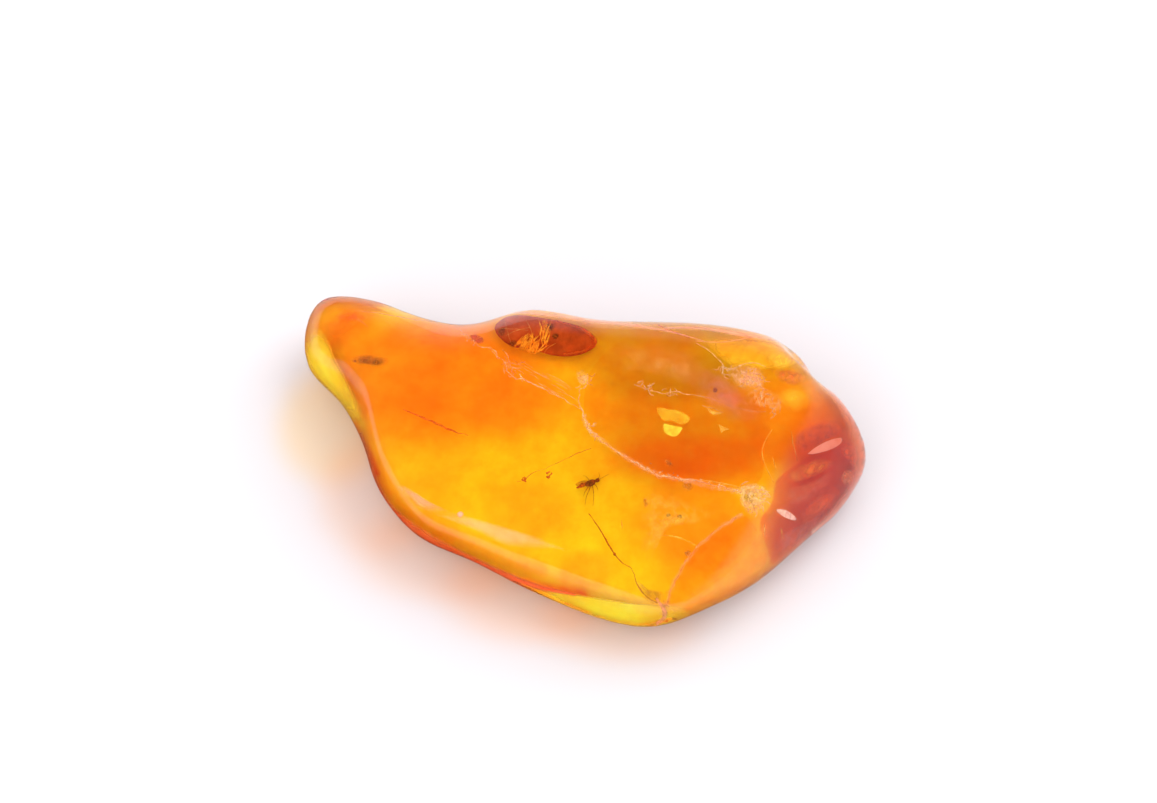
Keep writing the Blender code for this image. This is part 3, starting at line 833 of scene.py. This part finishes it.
glow = {
    # a film of cloudy resin under the inclusions, which lights up the stone
    "outline": [(309, 352), (314, 330), (326, 311), (350, 304), (400, 313), (462, 323), (500, 314),
                (545, 315), (600, 320), (700, 330), (765, 337), (799, 352), (807, 373), (831, 392),
                (854, 420), (862, 442), (863, 467), (853, 491), (830, 517), (798, 545), (766, 572),
                (735, 592), (690, 609), (657, 620), (600, 611), (548, 587), (505, 569), (452, 546),
                (412, 520), (383, 489), (372, 458), (359, 429), (334, 395), (314, 369)],
    "lift": -0.8,
    "shape": {"thick": 0.3, "rough": 0.5, "grain": 3.0, "seed": 100, "segments": 260, "rings": 48,
              "least": 2.2, "spread": 1.08},
    "veil": (0.82, 0.003, 2.5, 0.08),
    # view pixel, reach along, across and down in mm, colour
    "tints": {
        "arm": ((416, 378), (12.0, 6.0, 5.0), (1, 0.56, 0.6)),
        "armDeep": ((416, 388), (4.5, 2.4, 5.0), (1, 0.70, 0.5)),
        "underSeam": ((520, 405), (5.0, 3.0, 5.0), (1, 0.74, 0.7)),
        "nose": ((334, 318), (3.6, 2.4, 5.0), (0.92, 0.55, 0.6)),
        "left": ((420, 450), (5.0, 4.0, 5.0), (1, 0.80, 0.8)),
        "midPool": ((530, 512), (3.6, 2.6, 5.0), (1, 0.80, 0.7)),
        "lowPool": ((582, 577), (2.4, 1.6, 5.0), (1, 0.76, 0.7)),
        "dusky": ((690, 432), (8.5, 5.5, 6.0), (0.84, 0.66, 0.9)),
        "flame": ((690, 457), (7.0, 2.0, 5.0), (1, 0.68, 0.5)),
        "dusk": ((664, 358), (7.5, 3.6, 6.0), (0.68, 0.78, 1.0)),
        "banded": ((690, 520), (4.6, 4.6, 5.0), (1, 0.72, 0.9)),
        "oval": ((726, 562), (5.2, 4.4, 5.0), (1, 0.80, 0.9)),
        "right": ((800, 425), (5.0, 4.0, 8.0), (1, 0.66, 0.9)),
        "end": ((830, 482), (5.0, 6.0, 8.0), (0.84, 0.36, 0.5)),
        "endLow": ((792, 544), (2.8, 3.4, 8.0), (0.74, 0.30, 0.6)),
    },
    # soft bands in it: view pixels, half width in view pixels, colour
    "marks": {
        # painted caustic light: the yellow bands at the nose and along the bottom
        "noseCausticBand": ([(304, 332), (308, 352), (320, 370), (340, 398), (360, 424)], 13, (1.0, 0.80, 0.05)),
        "tailCausticBand": ([(500, 578), (540, 594), (580, 606), (620, 616), (654, 618), (690, 610)], 12,
                     (1.0, 0.84, 0.05)),
        "endBand": ([(690, 610), (735, 595), (770, 572), (805, 545)], 12, (1.0, 0.50, 0.04)),
        "slopeBand": ([(372, 452), (388, 484), (408, 508), (444, 531), (490, 552), (540, 573)], 18,
                      (1.0, 0.60, 0.03)),
        # painted shade: the dark red bands at the elbow and along the lower edge
        "elbowEdgeShade": ([(352, 424), (362, 442), (370, 460), (376, 474)], 7, (0.92, 0.16, 0.06)),
        "lowerEdgeShade": ([(364, 456), (375, 487), (392, 515), (427, 542), (470, 563), (512, 580), (548, 589),
                       (582, 595)], 10, (1.0, 0.18, 0.06)),
        "noseTop": ([(304, 338), (310, 316), (326, 303), (346, 300), (376, 304)], 17, (0.72, 0.24, 0.04)),
    },
}


accentShape = {"thick": 0.03, "rough": 0.1, "segments": 56, "rings": 16}
accents = {
    # smaller films near the skin: outline, depth in mm and finish, then strength, soft edge, size of the
    # patches in mm and patchiness
    # painted light: the bright yellow at the nose and along the bottom edge, where light is focused through
    # the stone
    "noseGold": ([(298, 345), (302, 327), (314, 320), (327, 334), (336, 356), (350, 382), (368, 424),
                  (358, 428), (334, 402), (310, 376)], 0.15, "brightGold", (0.95, 0.8, 1.2, 0.05)),
    "tailGold": ([(510, 580), (540, 586), (580, 594), (620, 601), (656, 605), (692, 602), (714, 600),
                  (696, 620), (660, 634), (616, 630), (570, 614), (536, 599)], 0.3, "brightGold",
                 (0.75, 0.7, 1.2, 0.05)),
    "bumpGold": ([(700, 340), (730, 336), (770, 340), (796, 352), (800, 364), (770, 370), (740, 368),
                  (724, 364)], 1.3, "goldGlow", (0.6, 0.35, 1.4, 0.4)),
    "bumpPane": ([(764, 352), (778, 346), (792, 352), (796, 364), (784, 372), (768, 366)], 0.8,
                 "yellowWindow", (0.5, 0.9, 0.8, 0.4)),
    "sidePane": ([(768, 394), (790, 384), (812, 386), (822, 400), (806, 414), (784, 412)], 0.8, "goldGlow",
                 (0.35, 1.0, 1.2, 0.5)),
    "endFlame": ([(784, 476), (798, 464), (822, 456), (838, 460), (828, 471), (808, 480), (792, 484)], 0.7,
                 "brightCrack", (0.70, 1.0, 0.8, 0.5)),
    "endFacet": ([(838, 446), (848, 440), (858, 452), (858, 470), (848, 462)], 0.8, "deepGlow",
                 (0.6, 0.8, 0.6, 0.5)),
    # painted light: bright yellow deep in the middle and lower middle, where light is focused through the
    # stone
    "goldPool": ([(520, 448), (545, 436), (575, 432), (590, 444), (584, 462), (556, 470), (530, 466)], 4.0,
                 "goldGlow", (0.5, 0.9, 1.8, 0.4)),
    "sideGold": ([(606, 470), (626, 478), (636, 500), (634, 540), (640, 580), (622, 590), (604, 560),
                  (600, 510)], 4.0, "goldGlow", (0.5, 0.8, 2.0, 0.4)),
}


def layFilms(rows, lay, shape, seed):
    # films or strands that are each a piece of their own
    for i, (name, (*form, finish, veil)) in enumerate(rows.items()):
        dress(lay(name, *form, seed=seed + i, **shape), makeFinish(finish, veil))


def makeGlow():
    film = layLens("glowFilm", glow["outline"], lift=glow["lift"], marks=glow["marks"], **glow["shape"])
    dress(film, makeFinish("amberGlow", glow["veil"], glow["tints"], glow["lift"], glow["marks"]))
    layFilms(accents, layLens, accentShape, 101)


sheenShape = {"rough": 0.1, "segments": 48, "rings": 14}
sheens = {
    # outline, depth, thickness and finish, then the same four
    # painted highlights: the two pale pink marks at the right end stand in for a light mirrored in the
    # stone
    "endLeaf": ([(807, 455), (816, 447), (830, 440), (842, 437.5), (840.5, 444), (828, 450.5)], 0.08, 0.03,
                "leafSheen", (1.0, 0.06, 0.6, 0.1)),
    "lowLeaf": ([(776, 509), (786, 510), (796, 517), (796, 521), (786, 518), (778, 513)], 0.10, 0.03,
                "leafSheen", (0.95, 0.15, 0.4, 0.4)),
    "endVeil": ([(782, 490), (800, 484), (822, 476), (834, 466), (836, 482), (820, 496), (800, 506),
                 (786, 506)], 0.6, 0.03, "pinkSheen", (0.32, 0.9, 1.0, 0.5)),
    "endPlum": ([(792, 436), (812, 424), (836, 420), (846, 430), (830, 440), (808, 452), (796, 452)], 0.3,
                0.03, "plumSheen", (0.45, 0.6, 0.8, 0.6)),
    "endShade": ([(798, 512), (812, 496), (832, 484), (846, 486), (836, 504), (812, 524), (796, 530)],
                 0.7, 0.03, "deepGlow", (0.55, 0.9, 1.5, 0.3)),
    "lowPlum": ([(770, 540), (800, 524), (830, 504), (846, 492), (836, 514), (800, 544), (776, 562)], 0.5,
                0.03, "plumSheen", (0.35, 0.7, 0.8, 0.6)),
    "flowVeil": ([(642, 492), (660, 486), (690, 500), (720, 512), (700, 524), (668, 530), (650, 562),
                  (640, 556), (638, 524)], 0.8, 0.03, "brightCrack", (0.40, 0.8, 0.8, 0.9)),
    # painted reflection: a faint pale veil for the room mirrored in the sloping facet
    "duskVeil": ([(600, 340), (640, 334), (690, 346), (722, 372), (730, 396), (700, 392), (650, 376),
                  (606, 368)], 0.3, 0.03, "peachSheen", (0.14, 1.0, 1.2, 0.5)),
    "plumVeil": ([(690, 366), (716, 368), (740, 384), (768, 408), (760, 424), (730, 424), (704, 406),
                  (688, 386)], 0.3, 0.03, "plumSheen", (0.38, 1.0, 1.2, 0.5)),
    "crazedVeil": ([(724, 368), (745, 363), (762, 368), (766, 380), (764, 392), (748, 392), (734, 386)],
                   0.3, 0.03, "pinkSheen", (0.42, 0.7, 0.3, 0.8)),
    "crazedTail": ([(744, 388), (764, 386), (786, 400), (784, 412), (764, 410), (748, 402)], 0.3, 0.03,
                   "peachSheen", (0.25, 0.8, 0.3, 0.9)),
    "foldShade": ([(770, 370), (784, 368), (804, 372), (808, 380), (796, 387), (780, 383)], 0.5, 0.03,
                  "redCrack", (0.55, 0.7, 0.5, 0.6)),
    "noseSmear": ([(332, 316), (345, 309), (362, 312), (372, 320), (352, 322), (340, 323)], 0.25, 0.03,
                  "redBand", (0.45, 0.9, 0.5, 0.6)),
    "noseShade": ([(312, 330), (324, 314), (350, 306), (380, 312), (360, 324), (340, 338), (322, 340)],
                  0.8, 0.03, "deepGlow", (0.30, 1.0, 0.9, 0.3)),
    "scarShade": ([(469, 335), (477, 334), (485, 339), (482, 344), (473, 342)], 0.5, 0.03,
                  "plumSheen", (0.75, 0.5, 0.4, 0.4)),
    "edgeShade": ([(634, 578), (648, 588), (664, 592), (666, 602), (652, 604), (640, 596)], 0.7, 0.03,
                  "bark", (0.40, 0.8, 0.6, 0.5)),
    # painted highlight: a soft reflection along the lower-left shoulder, in three pieces
    "flashPatch": ([(393, 483), (402, 484), (416, 492), (428, 500), (440, 507), (452, 512), (436, 514),
                    (420, 509), (406, 497)], 0.10, 0.015, "pinkSheen", (0.42, 0.8, 1.2, 0.1)),
    "flashBand": ([(424, 512), (446, 510), (462, 514), (484, 520), (520, 531), (556, 542), (584, 551),
                   (556, 551), (524, 549), (504, 546), (480, 534), (450, 521)], 0.10, 0.015,
                  "peachSheen", (0.32, 0.7, 2.0, 0.05)),
    "flashSpot": ([(457, 513), (461, 511), (464, 514), (461, 518), (458, 517)], 0.06, 0.03,
                  "pinkSheen", (0.9, 0.5, 0.5, 0.1)),
}


bandShape = {"thick": 0.03, "sides": 12, "steps": 80, "wander": 0.01, "rag": 0.06, "grain": 1.0}
bands = {
    # soft lines that follow an edge: route, widths, depth and finish, then the same four
    # painted shade: the darker red line along the lower edge
    "edgeBand": ([(357, 434), (364, 454), (375, 486), (393, 513), (428, 539), (470, 560), (512, 578),
                  (542, 588), (576, 595)], (1.0, 1.3, 0.3), 0.10, "redBand", (0.75, 1.0, 1.5, 0.1)),
    # painted reflections: pale pink bands along the top rim, for the pale room mirrored at grazing angles
    "topRim": ([(480, 318), (510, 312), (560, 316), (600, 321), (640, 326), (672, 332), (704, 341)],
               (0.2, 0.7, 0.1), 0.10, "rimSheen", (0.45, 1.0, 0.9, 0.2)),
    "bumpRim": ([(664, 328), (700, 328), (740, 334), (776, 340), (798, 350), (806, 364)], (0.2, 0.6, 0.5),
                0.10, "rimSheen", (0.45, 1.0, 0.7, 0.2)),
    "bumpLine": ([(695, 341), (723, 342), (752, 337), (771, 336)], (0.08, 0.16, 0.06), 0.12, "peachSheen",
                 (0.6, 0.8, 0.5, 0.4)),
    # painted reflection: the pale pink band along the right rim
    "endRim": ([(804, 364), (828, 384), (848, 404), (862, 428), (867, 456), (860, 484), (842, 508),
                (812, 534)], (0.8, 3.0, 0.6), 0.12, "rimSheen", (0.85, 1.0, 1.5, 0.1)),
    "crazedArc": ([(722, 366), (732, 369), (744, 364), (756, 363), (766, 367)], (0.06, 0.14, 0.06), 0.2,
                  "paleCrust", (0.5, 0.8, 0.3, 0.5)),
    "duskEdge": ([(696, 343), (708, 350), (717, 358), (723, 365), (722, 374)], (0.06, 0.10, 0.16), 0.15,
                 "paleCrust", (0.5, 0.8, 0.3, 0.6)),
    "ridgeDash": ([(658, 325), (668, 330), (680, 334), (690, 338)], (0.10, 0.20, 0.10), 0.15, "redCrack",
                  (0.7, 0.7, 0.3, 0.7)),
    "tipBand": ([(656, 598), (664, 610), (664, 618), (656, 624)], (0.3, 0.5, 0.4), 0.2, "pinkSheen",
                (0.6, 0.8, 0.4, 0.6)),
}


def makeSheens():
    layFilms(sheens, layLens, sheenShape, 80)
    layFilms(bands, layStrand, bandShape, 90)


striations = {
    # fine straight lines beside the seam, in view pixels
    "count": 22,
    "across": (512, 560),
    "top": 364,
    "fall": 0.52,
    "stray": 9,
    "lengths": (10, 30),
    "bend": 1.5,
    "shape": {"widths": (0.015, 0.05, 0.015), "depth": 0.4, "thick": 0.03, "sides": 5, "steps": 10,
              "rag": 0.3},
    "veil": (0.6, 0.5, 0.5, 0.5),
}


def makeStriations():
    pick = random.Random(5)
    left, right = striations["across"]
    stray, bend = striations["stray"], striations["bend"]
    lines = []
    for i in range(striations["count"]):
        px = pick.uniform(left, right)
        py = striations["top"] + (px - left) * striations["fall"] + pick.uniform(-stray, stray)
        length = pick.uniform(*striations["lengths"])
        middle = (px + length * 0.45, py + length * 0.24 + pick.uniform(-bend, bend))
        route = [(px, py), middle, (px + length * 0.88, py + length * 0.5)]
        lines.append(layStrand("striation", route, seed=400 + i, **striations["shape"]))
    dress(joinPieces("striations", lines), makeFinish("seamCrust", striations["veil"]))


gnat = {
    # the body parts in view pixels, laid on the parting plane or so many mm over it
    "abdomen": [(576.5, 488), (579.5, 486.4), (582.5, 484.8), (586, 483.4)],
    "abdomenShape": {"widths": (0.10, 0.38, 0.30), "thick": 0.30, "sides": 14, "steps": 30, "rag": 0.35,
                     "grain": 0.18, "seed": 3, "lift": 0.0},
    "thorax": [(584.6, 484.6), (586.5, 481.6), (590, 479.8), (594, 479.4), (596, 481), (594.6, 484.2),
               (590.5, 486.4), (586.4, 486.6)],
    "thoraxShape": {"thick": 0.46, "rough": 0.4, "grain": 0.4, "seed": 5, "segments": 24, "rings": 12,
                    "lift": 0.02},
    "head": [(595.4, 479.4), (597.6, 478), (599.6, 479), (599.4, 481.2), (597.4, 482.4), (595.6, 481.8)],
    "headShape": {"thick": 0.24, "rough": 0.3, "grain": 0.3, "seed": 6, "segments": 20, "rings": 10,
                  "lift": 0.0},
    "wing": [(590, 481), (584, 480.2), (577, 482.6), (574.4, 485.4), (578, 486), (585, 483.6)],
    "wingShape": {"thick": 0.03, "seed": 8, "segments": 24, "rings": 8, "lift": 0.22},
    "wingVeil": (0.35, 0.2, 0.3, 0.4),
    "limbs": [
        ([(598.4, 478.6), (599.4, 475.6), (598.8, 472.2)], (0.03, 0.03, 0.02)),
        ([(599.2, 479.4), (603, 477.2), (609.4, 474)], (0.03, 0.03, 0.02)),
        ([(590.6, 486), (588.8, 491), (586.6, 495.6), (585.8, 500), (585, 505)], (0.06, 0.045, 0.02)),
        ([(592.4, 485.6), (593.4, 491), (593.8, 495.6), (593.4, 501), (593, 506)], (0.06, 0.045, 0.02)),
        ([(588.4, 486.4), (586, 490.4), (584.6, 492.6), (583.6, 496.4)], (0.05, 0.04, 0.02)),
        ([(594.6, 484), (597, 487.4), (598, 490.4)], (0.05, 0.04, 0.02)),
        ([(589.4, 480.4), (586.4, 476.8), (583.4, 475.6)], (0.04, 0.03, 0.015)),
    ],
    "limbShape": {"thick": 0.035, "sides": 6, "steps": 16, "rag": 0.2, "lift": 0.0},
}


def makeGnat():
    abdomen = layStrand("gnatAbdomen", gnat["abdomen"], **gnat["abdomenShape"])
    dress(abdomen, makeFinish("redChitin"))
    parts = [layLens("thorax", gnat["thorax"], **gnat["thoraxShape"]),
             layLens("head", gnat["head"], **gnat["headShape"])]
    for i, (route, widths) in enumerate(gnat["limbs"]):
        parts.append(layStrand("limb", route, widths, seed=i, **gnat["limbShape"]))
    dress(joinPieces("gnatBody", parts), makeFinish("chitin"), "gnat")
    wing = layLens("gnatWing", gnat["wing"], **gnat["wingShape"])
    dress(wing, makeFinish("plantFibre", gnat["wingVeil"]))


plantHair = {
    "route": [(588.6, 513.6), (592, 518), (599, 528), (606.8, 541.4), (614.4, 553.8), (622, 562.4),
              (630.7, 567.4)],
    "strand": {"widths": (0.06, 0.11, 0.05), "thick": 0.08, "steps": 90, "wander": 0.03, "rag": 0.4,
               "grain": 0.4, "seed": 4, "lift": 0.0},
    "knot": [(613.2, 553), (615, 552.6), (616, 554.2), (614.8, 555.8), (613.4, 555.2)],
    "knotShape": {"thick": 0.16, "rough": 0.5, "grain": 0.3, "seed": 2, "segments": 16, "rings": 8,
                  "lift": 0.0},
    # the edge of a film in the resin that runs on from the hair
    "edge": [(630.4, 567), (634, 574), (637, 584), (645, 595), (653, 601), (662, 604)],
    "edgeShape": {"widths": (0.06, 0.14, 0.06), "depth": 0.8, "steps": 60, "rag": 0.4, "seed": 12},
    "edgeVeil": (0.75, 0.7, 0.6, 0.4),
}


def makeHair():
    hair = layStrand("hairStrand", plantHair["route"], **plantHair["strand"])
    knot = layLens("knot", plantHair["knot"], **plantHair["knotShape"])
    dress(joinPieces("hairStrand", [hair, knot]), makeFinish("plantFibre"), "plant_hair")
    edge = layStrand("filmEdge", plantHair["edge"], **plantHair["edgeShape"])
    dress(edge, makeFinish("brownEdge", plantHair["edgeVeil"]))


budScale = {
    "outline": [(494.6, 327.5), (499, 321.5), (508, 316.4), (523.3, 315.2), (545, 318.5), (566.8, 322.5),
                (582.6, 328.4), (596.4, 339.3), (594.5, 347.2), (582.6, 354), (566.8, 356.6), (552, 355),
                (538, 351), (524, 348), (513.4, 347), (503.5, 341.3), (496.4, 333.5)],
    "bodyShape": {"thick": 0.5, "rough": 0.5, "grain": 2.0, "seed": 7, "segments": 72, "rings": 24,
                  "lift": 0.0},
    "rim": [(556, 320.6), (572, 325), (586, 331), (594.6, 339.6), (592.6, 346.4), (580, 352), (564, 354.4)],
    "rimShape": {"widths": (0.15, 0.5, 0.2), "thick": 0.08, "sides": 12, "rag": 0.3, "seed": 3,
                 "lift": 0.24},
    "rimVeil": (0.6, 0.9, 0.6, 0.4),
    "shards": [
        [(541, 318), (546, 318), (549, 326), (547, 338), (543, 348), (540, 338), (543, 327)],
        [(518, 343), (527, 341), (538, 345), (545, 351), (536, 355), (526, 352)],
        [(528, 334), (531, 333), (537, 342), (540, 350), (534, 346)],
    ],
    "shardShape": {"rough": 0.8, "grain": 0.5, "segments": 28, "rings": 8, "lift": 0.34},
    "shardVeil": (0.6, 0.5, 0.3, 0.7),
    "flames": [((526, 350), (13, 3), 0.3, 30, 15, (0.03, 0.13, 0.02), -0.9),
               ((543, 342), (3, 9), 0.0, 10, 15, (0.03, 0.14, 0.02), -1.4)],
    "flameDepth": 1.6,
    "flameVeil": (0.85, 0.6, 0.3, 0.5),
    "spots": [
        [(552, 334), (557, 332), (560, 336), (556, 340), (552, 338)],
        [(508, 341), (515, 339), (519, 344), (514, 348), (508, 346)],
        [(497, 330), (504, 326), (506, 332), (502, 338), (498, 335)],
        [(545, 324), (552, 322), (556, 328), (550, 332)],
    ],
    "spotShape": {"rough": 0.8, "grain": 0.5, "segments": 20, "rings": 8, "lift": 0.36},
    "spotVeil": (0.7, 0.8, 0.4, 0.5),
    "hairlines": [
        ([(499, 328), (512, 329), (528, 330)], (0.02, 0.04, 0.02)),
        ([(506, 336), (516, 331), (530, 327)], (0.02, 0.04, 0.02)),
        ([(526, 320), (531, 330), (533, 341)], (0.02, 0.05, 0.02)),
        ([(556, 343), (548, 348), (544, 353)], (0.02, 0.05, 0.02)),
        ([(505, 322), (508, 333), (511, 344)], (0.02, 0.03, 0.02)),
    ],
    "hairlineShape": {"thick": 0.02, "sides": 5, "steps": 20, "rag": 0.4, "lift": 0.38},
    "hairlineVeil": (0.7, 0.5, 0.5, 0.4),
}


def makeBudScale():
    scale = layLens("budBody", budScale["outline"], **budScale["bodyShape"])
    dress(scale, makeFinish("husk"), "bud_scale")
    rim = layStrand("budRim", budScale["rim"], **budScale["rimShape"])
    dress(rim, makeFinish("huskRim", budScale["rimVeil"]))
    layGroup("budShards", layLens, zip(budScale["shards"]),
             makeFinish("brightCrack", budScale["shardVeil"]), 20, **budScale["shardShape"])
    flames = []
    for i, (*form, heading) in enumerate(budScale["flames"]):
        flames.append(scribble("budFlames", *form, budScale["flameDepth"], 500 + 50 * i, heading))
    dress(joinPieces("budFlames", flames), makeFinish("brightCrack", budScale["flameVeil"]))
    layGroup("budSpots", layLens, zip(budScale["spots"]), makeFinish("darkSpeck", budScale["spotVeil"]), 30,
             "bud_husk", **budScale["spotShape"])
    layGroup("budHairlines", layStrand, budScale["hairlines"],
             makeFinish("seamCrust", budScale["hairlineVeil"]), **budScale["hairlineShape"])


barkCrumb = {
    "outline": [(348, 360), (356, 354.6), (368, 353.4), (380, 356), (391, 358), (390, 364), (380, 367),
                (366, 365.6), (354, 364)],
    "cores": [
        [(357, 359.6), (364, 357.6), (370, 359.4), (368, 363), (360, 363)],
        [(371, 360.6), (376, 360), (382, 362.6), (379, 365.4), (372, 364.4)],
        [(352, 360.4), (356, 359.6), (357, 362.4), (353, 362.6)],
    ],
    "hazeShape": {"thick": 0.3, "rough": 0.8, "grain": 0.6, "seed": 3, "rings": 14, "lift": 0.0},
    "hazeVeil": (0.85, 0.9, 0.5, 0.4),
    "coreShape": {"thick": 0.4, "rough": 1.0, "grain": 0.4, "segments": 24, "rings": 12, "lift": 0.05},
    "coreVeil": (0.75, 0.9, 0.3, 0.4),
}


def makeCrumb():
    haze = layLens("crumbHaze", barkCrumb["outline"], **barkCrumb["hazeShape"])
    dress(haze, makeFinish("bark", barkCrumb["hazeVeil"]))
    layGroup("crumbCores", layLens, zip(barkCrumb["cores"]), makeFinish("bark", barkCrumb["coreVeil"]), 0,
             "bark", "bark_crumb", **barkCrumb["coreShape"])


studio = {
    "paper": (0.46, 0.45, 0.46, 1),
    "skyColour": (1.0, 0.95, 0.97, 1),
    # the stone's orange glow on the paper, painted into the paper's colour: view pixel, reach along, across
    # and up in mm, colour
    "paperGlow": {
        "nose": ((332, 426), (5.0, 6.0, 5.0), (1.10, 0.92, 0.66)),
        "elbow": ((378, 496), (5.5, 6.0, 5.0), (1.08, 0.90, 0.78)),
        "shoulder": ((446, 552), (8.0, 5.0, 5.0), (1.08, 0.90, 0.78)),
        "lower": ((534, 592), (8.0, 5.0, 5.0), (1.10, 0.88, 0.74)),
        "tip": ((620, 622), (7.0, 4.0, 5.0), (1.08, 0.92, 0.82)),
    },
    # painted shade and glow that only reflection rays see: how much of that side of the paper the gloss of
    # the stone mirrors
    "mirroredPaperShade": {
        "left": ((300, 480), (22.0, 24.0, 9.0), (0.40, 0.20, 0.08)),
        "below": ((470, 640), (30.0, 20.0, 9.0), (0.50, 0.25, 0.10)),
    },
    "sky": 1.75,  # the light that falls on the paper and through the stone
    "brightSide": (0.80, 0.35, 0.0),  # what the gloss mirrors: a pale side of the room
    "mirrorBright": 0.95,
    "mirrorDim": 0.10,  # and a dim one
    "mirrorSides": (-0.25, 0.75),
    "mirrorHeights": (0.75, 0.15),  # sine of the height from which the pale side starts
    "panels": [
        # name, direction, distance in metres, size across and high, watts, seen in reflections
        ("windowLight", (0.62, 0.30, 0.72), 0.60, (0.60, 0.60), 3.0, False),
        ("fillLight", (-0.60, -0.55, 0.58), 0.60, (0.80, 0.80), 2.4, False),
    ],
    "bounces": 32,
    "glossyBounces": 12,
}


def onPaper(px, py):
    ray = sightThrough(px, py)
    return eye - ray * (eye.z / ray.z)


def makePaper():
    bpy.ops.mesh.primitive_plane_add(size=4.0, location=(0, 0, -0.02 * mm))
    paper = bpy.context.object
    paper.name = "paper"
    material, tree, shader = newMaterial("whitePaper", {"Roughness": 0.9})
    # the paper's colour carries the painted glow of the stone
    seen = addZones(tree, studio["paper"], studio["paperGlow"], onPaper)
    # reflection rays see a darker, warmer copy of the paper, painted shade and glow
    mirrored = addZones(tree, studio["paper"], studio["mirroredPaperShade"], onPaper)
    reflection = addNode(tree, "LightPath")["Is Reflection Ray"]
    feed(shader["Base Color"], blend(tree, reflection, seen, mirrored))
    paper.data.materials.append(material)


def makeSky():
    # even light on the paper and through the stone, while its gloss mirrors a pale and a dim side
    world = bpy.data.worlds.new("room")
    world.use_nodes = True
    tree = world.node_tree
    way = addNode(tree, "TexCoord")["Generated"]
    towards = addNode(tree, "VectorMath", {0: way, 1: studio["brightSide"]}, operation="DOT_PRODUCT")
    side = softStep(tree, towards["Value"], *studio["mirrorSides"])
    height = softStep(tree, addNode(tree, "SeparateXYZ", {"Vector": way})["Z"], *studio["mirrorHeights"])
    levels = {"Value": multiply(tree, side, height), "To Min": studio["mirrorDim"],
              "To Max": studio["mirrorBright"]}
    mirrored = addNode(tree, "MapRange", levels)["Result"]
    path = addNode(tree, "LightPath")
    gloss = multiply(tree, path["Is Glossy Ray"], path["Is Reflection Ray"])
    background = tree.nodes["Background"].inputs
    feed(background["Color"], studio["skyColour"])
    light = addNode(tree, "Mix", {"Factor": gloss, "A": studio["sky"], "B": mirrored})
    feed(background["Strength"], light["Result"])
    bpy.context.scene.world = world


def makePanel(name, direction, distance, size, watts, reflected):
    bpy.ops.object.light_add(type="AREA", location=Vector(direction).normalized() * distance)
    panel = bpy.context.object
    panel.name = name
    panel.data.shape = "ELLIPSE"
    panel.data.size, panel.data.size_y = size
    panel.data.energy = watts
    panel.visible_glossy = reflected
    panel.rotation_euler = (-panel.location).to_track_quat("-Z", "Y").to_euler()


def makeStudio():
    makePaper()
    makeSky()
    for panel in studio["panels"]:
        makePanel(*panel)
    settings = bpy.context.scene
    settings.view_settings.view_transform = "Standard"
    settings.cycles.max_bounces = studio["bounces"]
    settings.cycles.transmission_bounces = studio["bounces"]
    settings.cycles.transparent_max_bounces = studio["bounces"]
    settings.cycles.glossy_bounces = studio["glossyBounces"]


addCamera()
mottleTree = mottleGroup()
veilTree = veilGroup()
zoneTree = zoneGroup()
stone = makeAmber()
skin = BVHTree.FromObject(stone, bpy.context.evaluated_depsgraph_get())
stone.data.materials.append(amberMaterial())
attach(stone, "root")
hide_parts("amber_upper_half", "amber_lower_half")
makeSeam()
makeVein()
makeCracks()
makeWindows()
makeCrust()
makeSpecks()
makeFlows()
makeGlow()
makeSheens()
makeStriations()
makeGnat()
makeHair()
makeBudScale()
makeCrumb()
makeStudio()
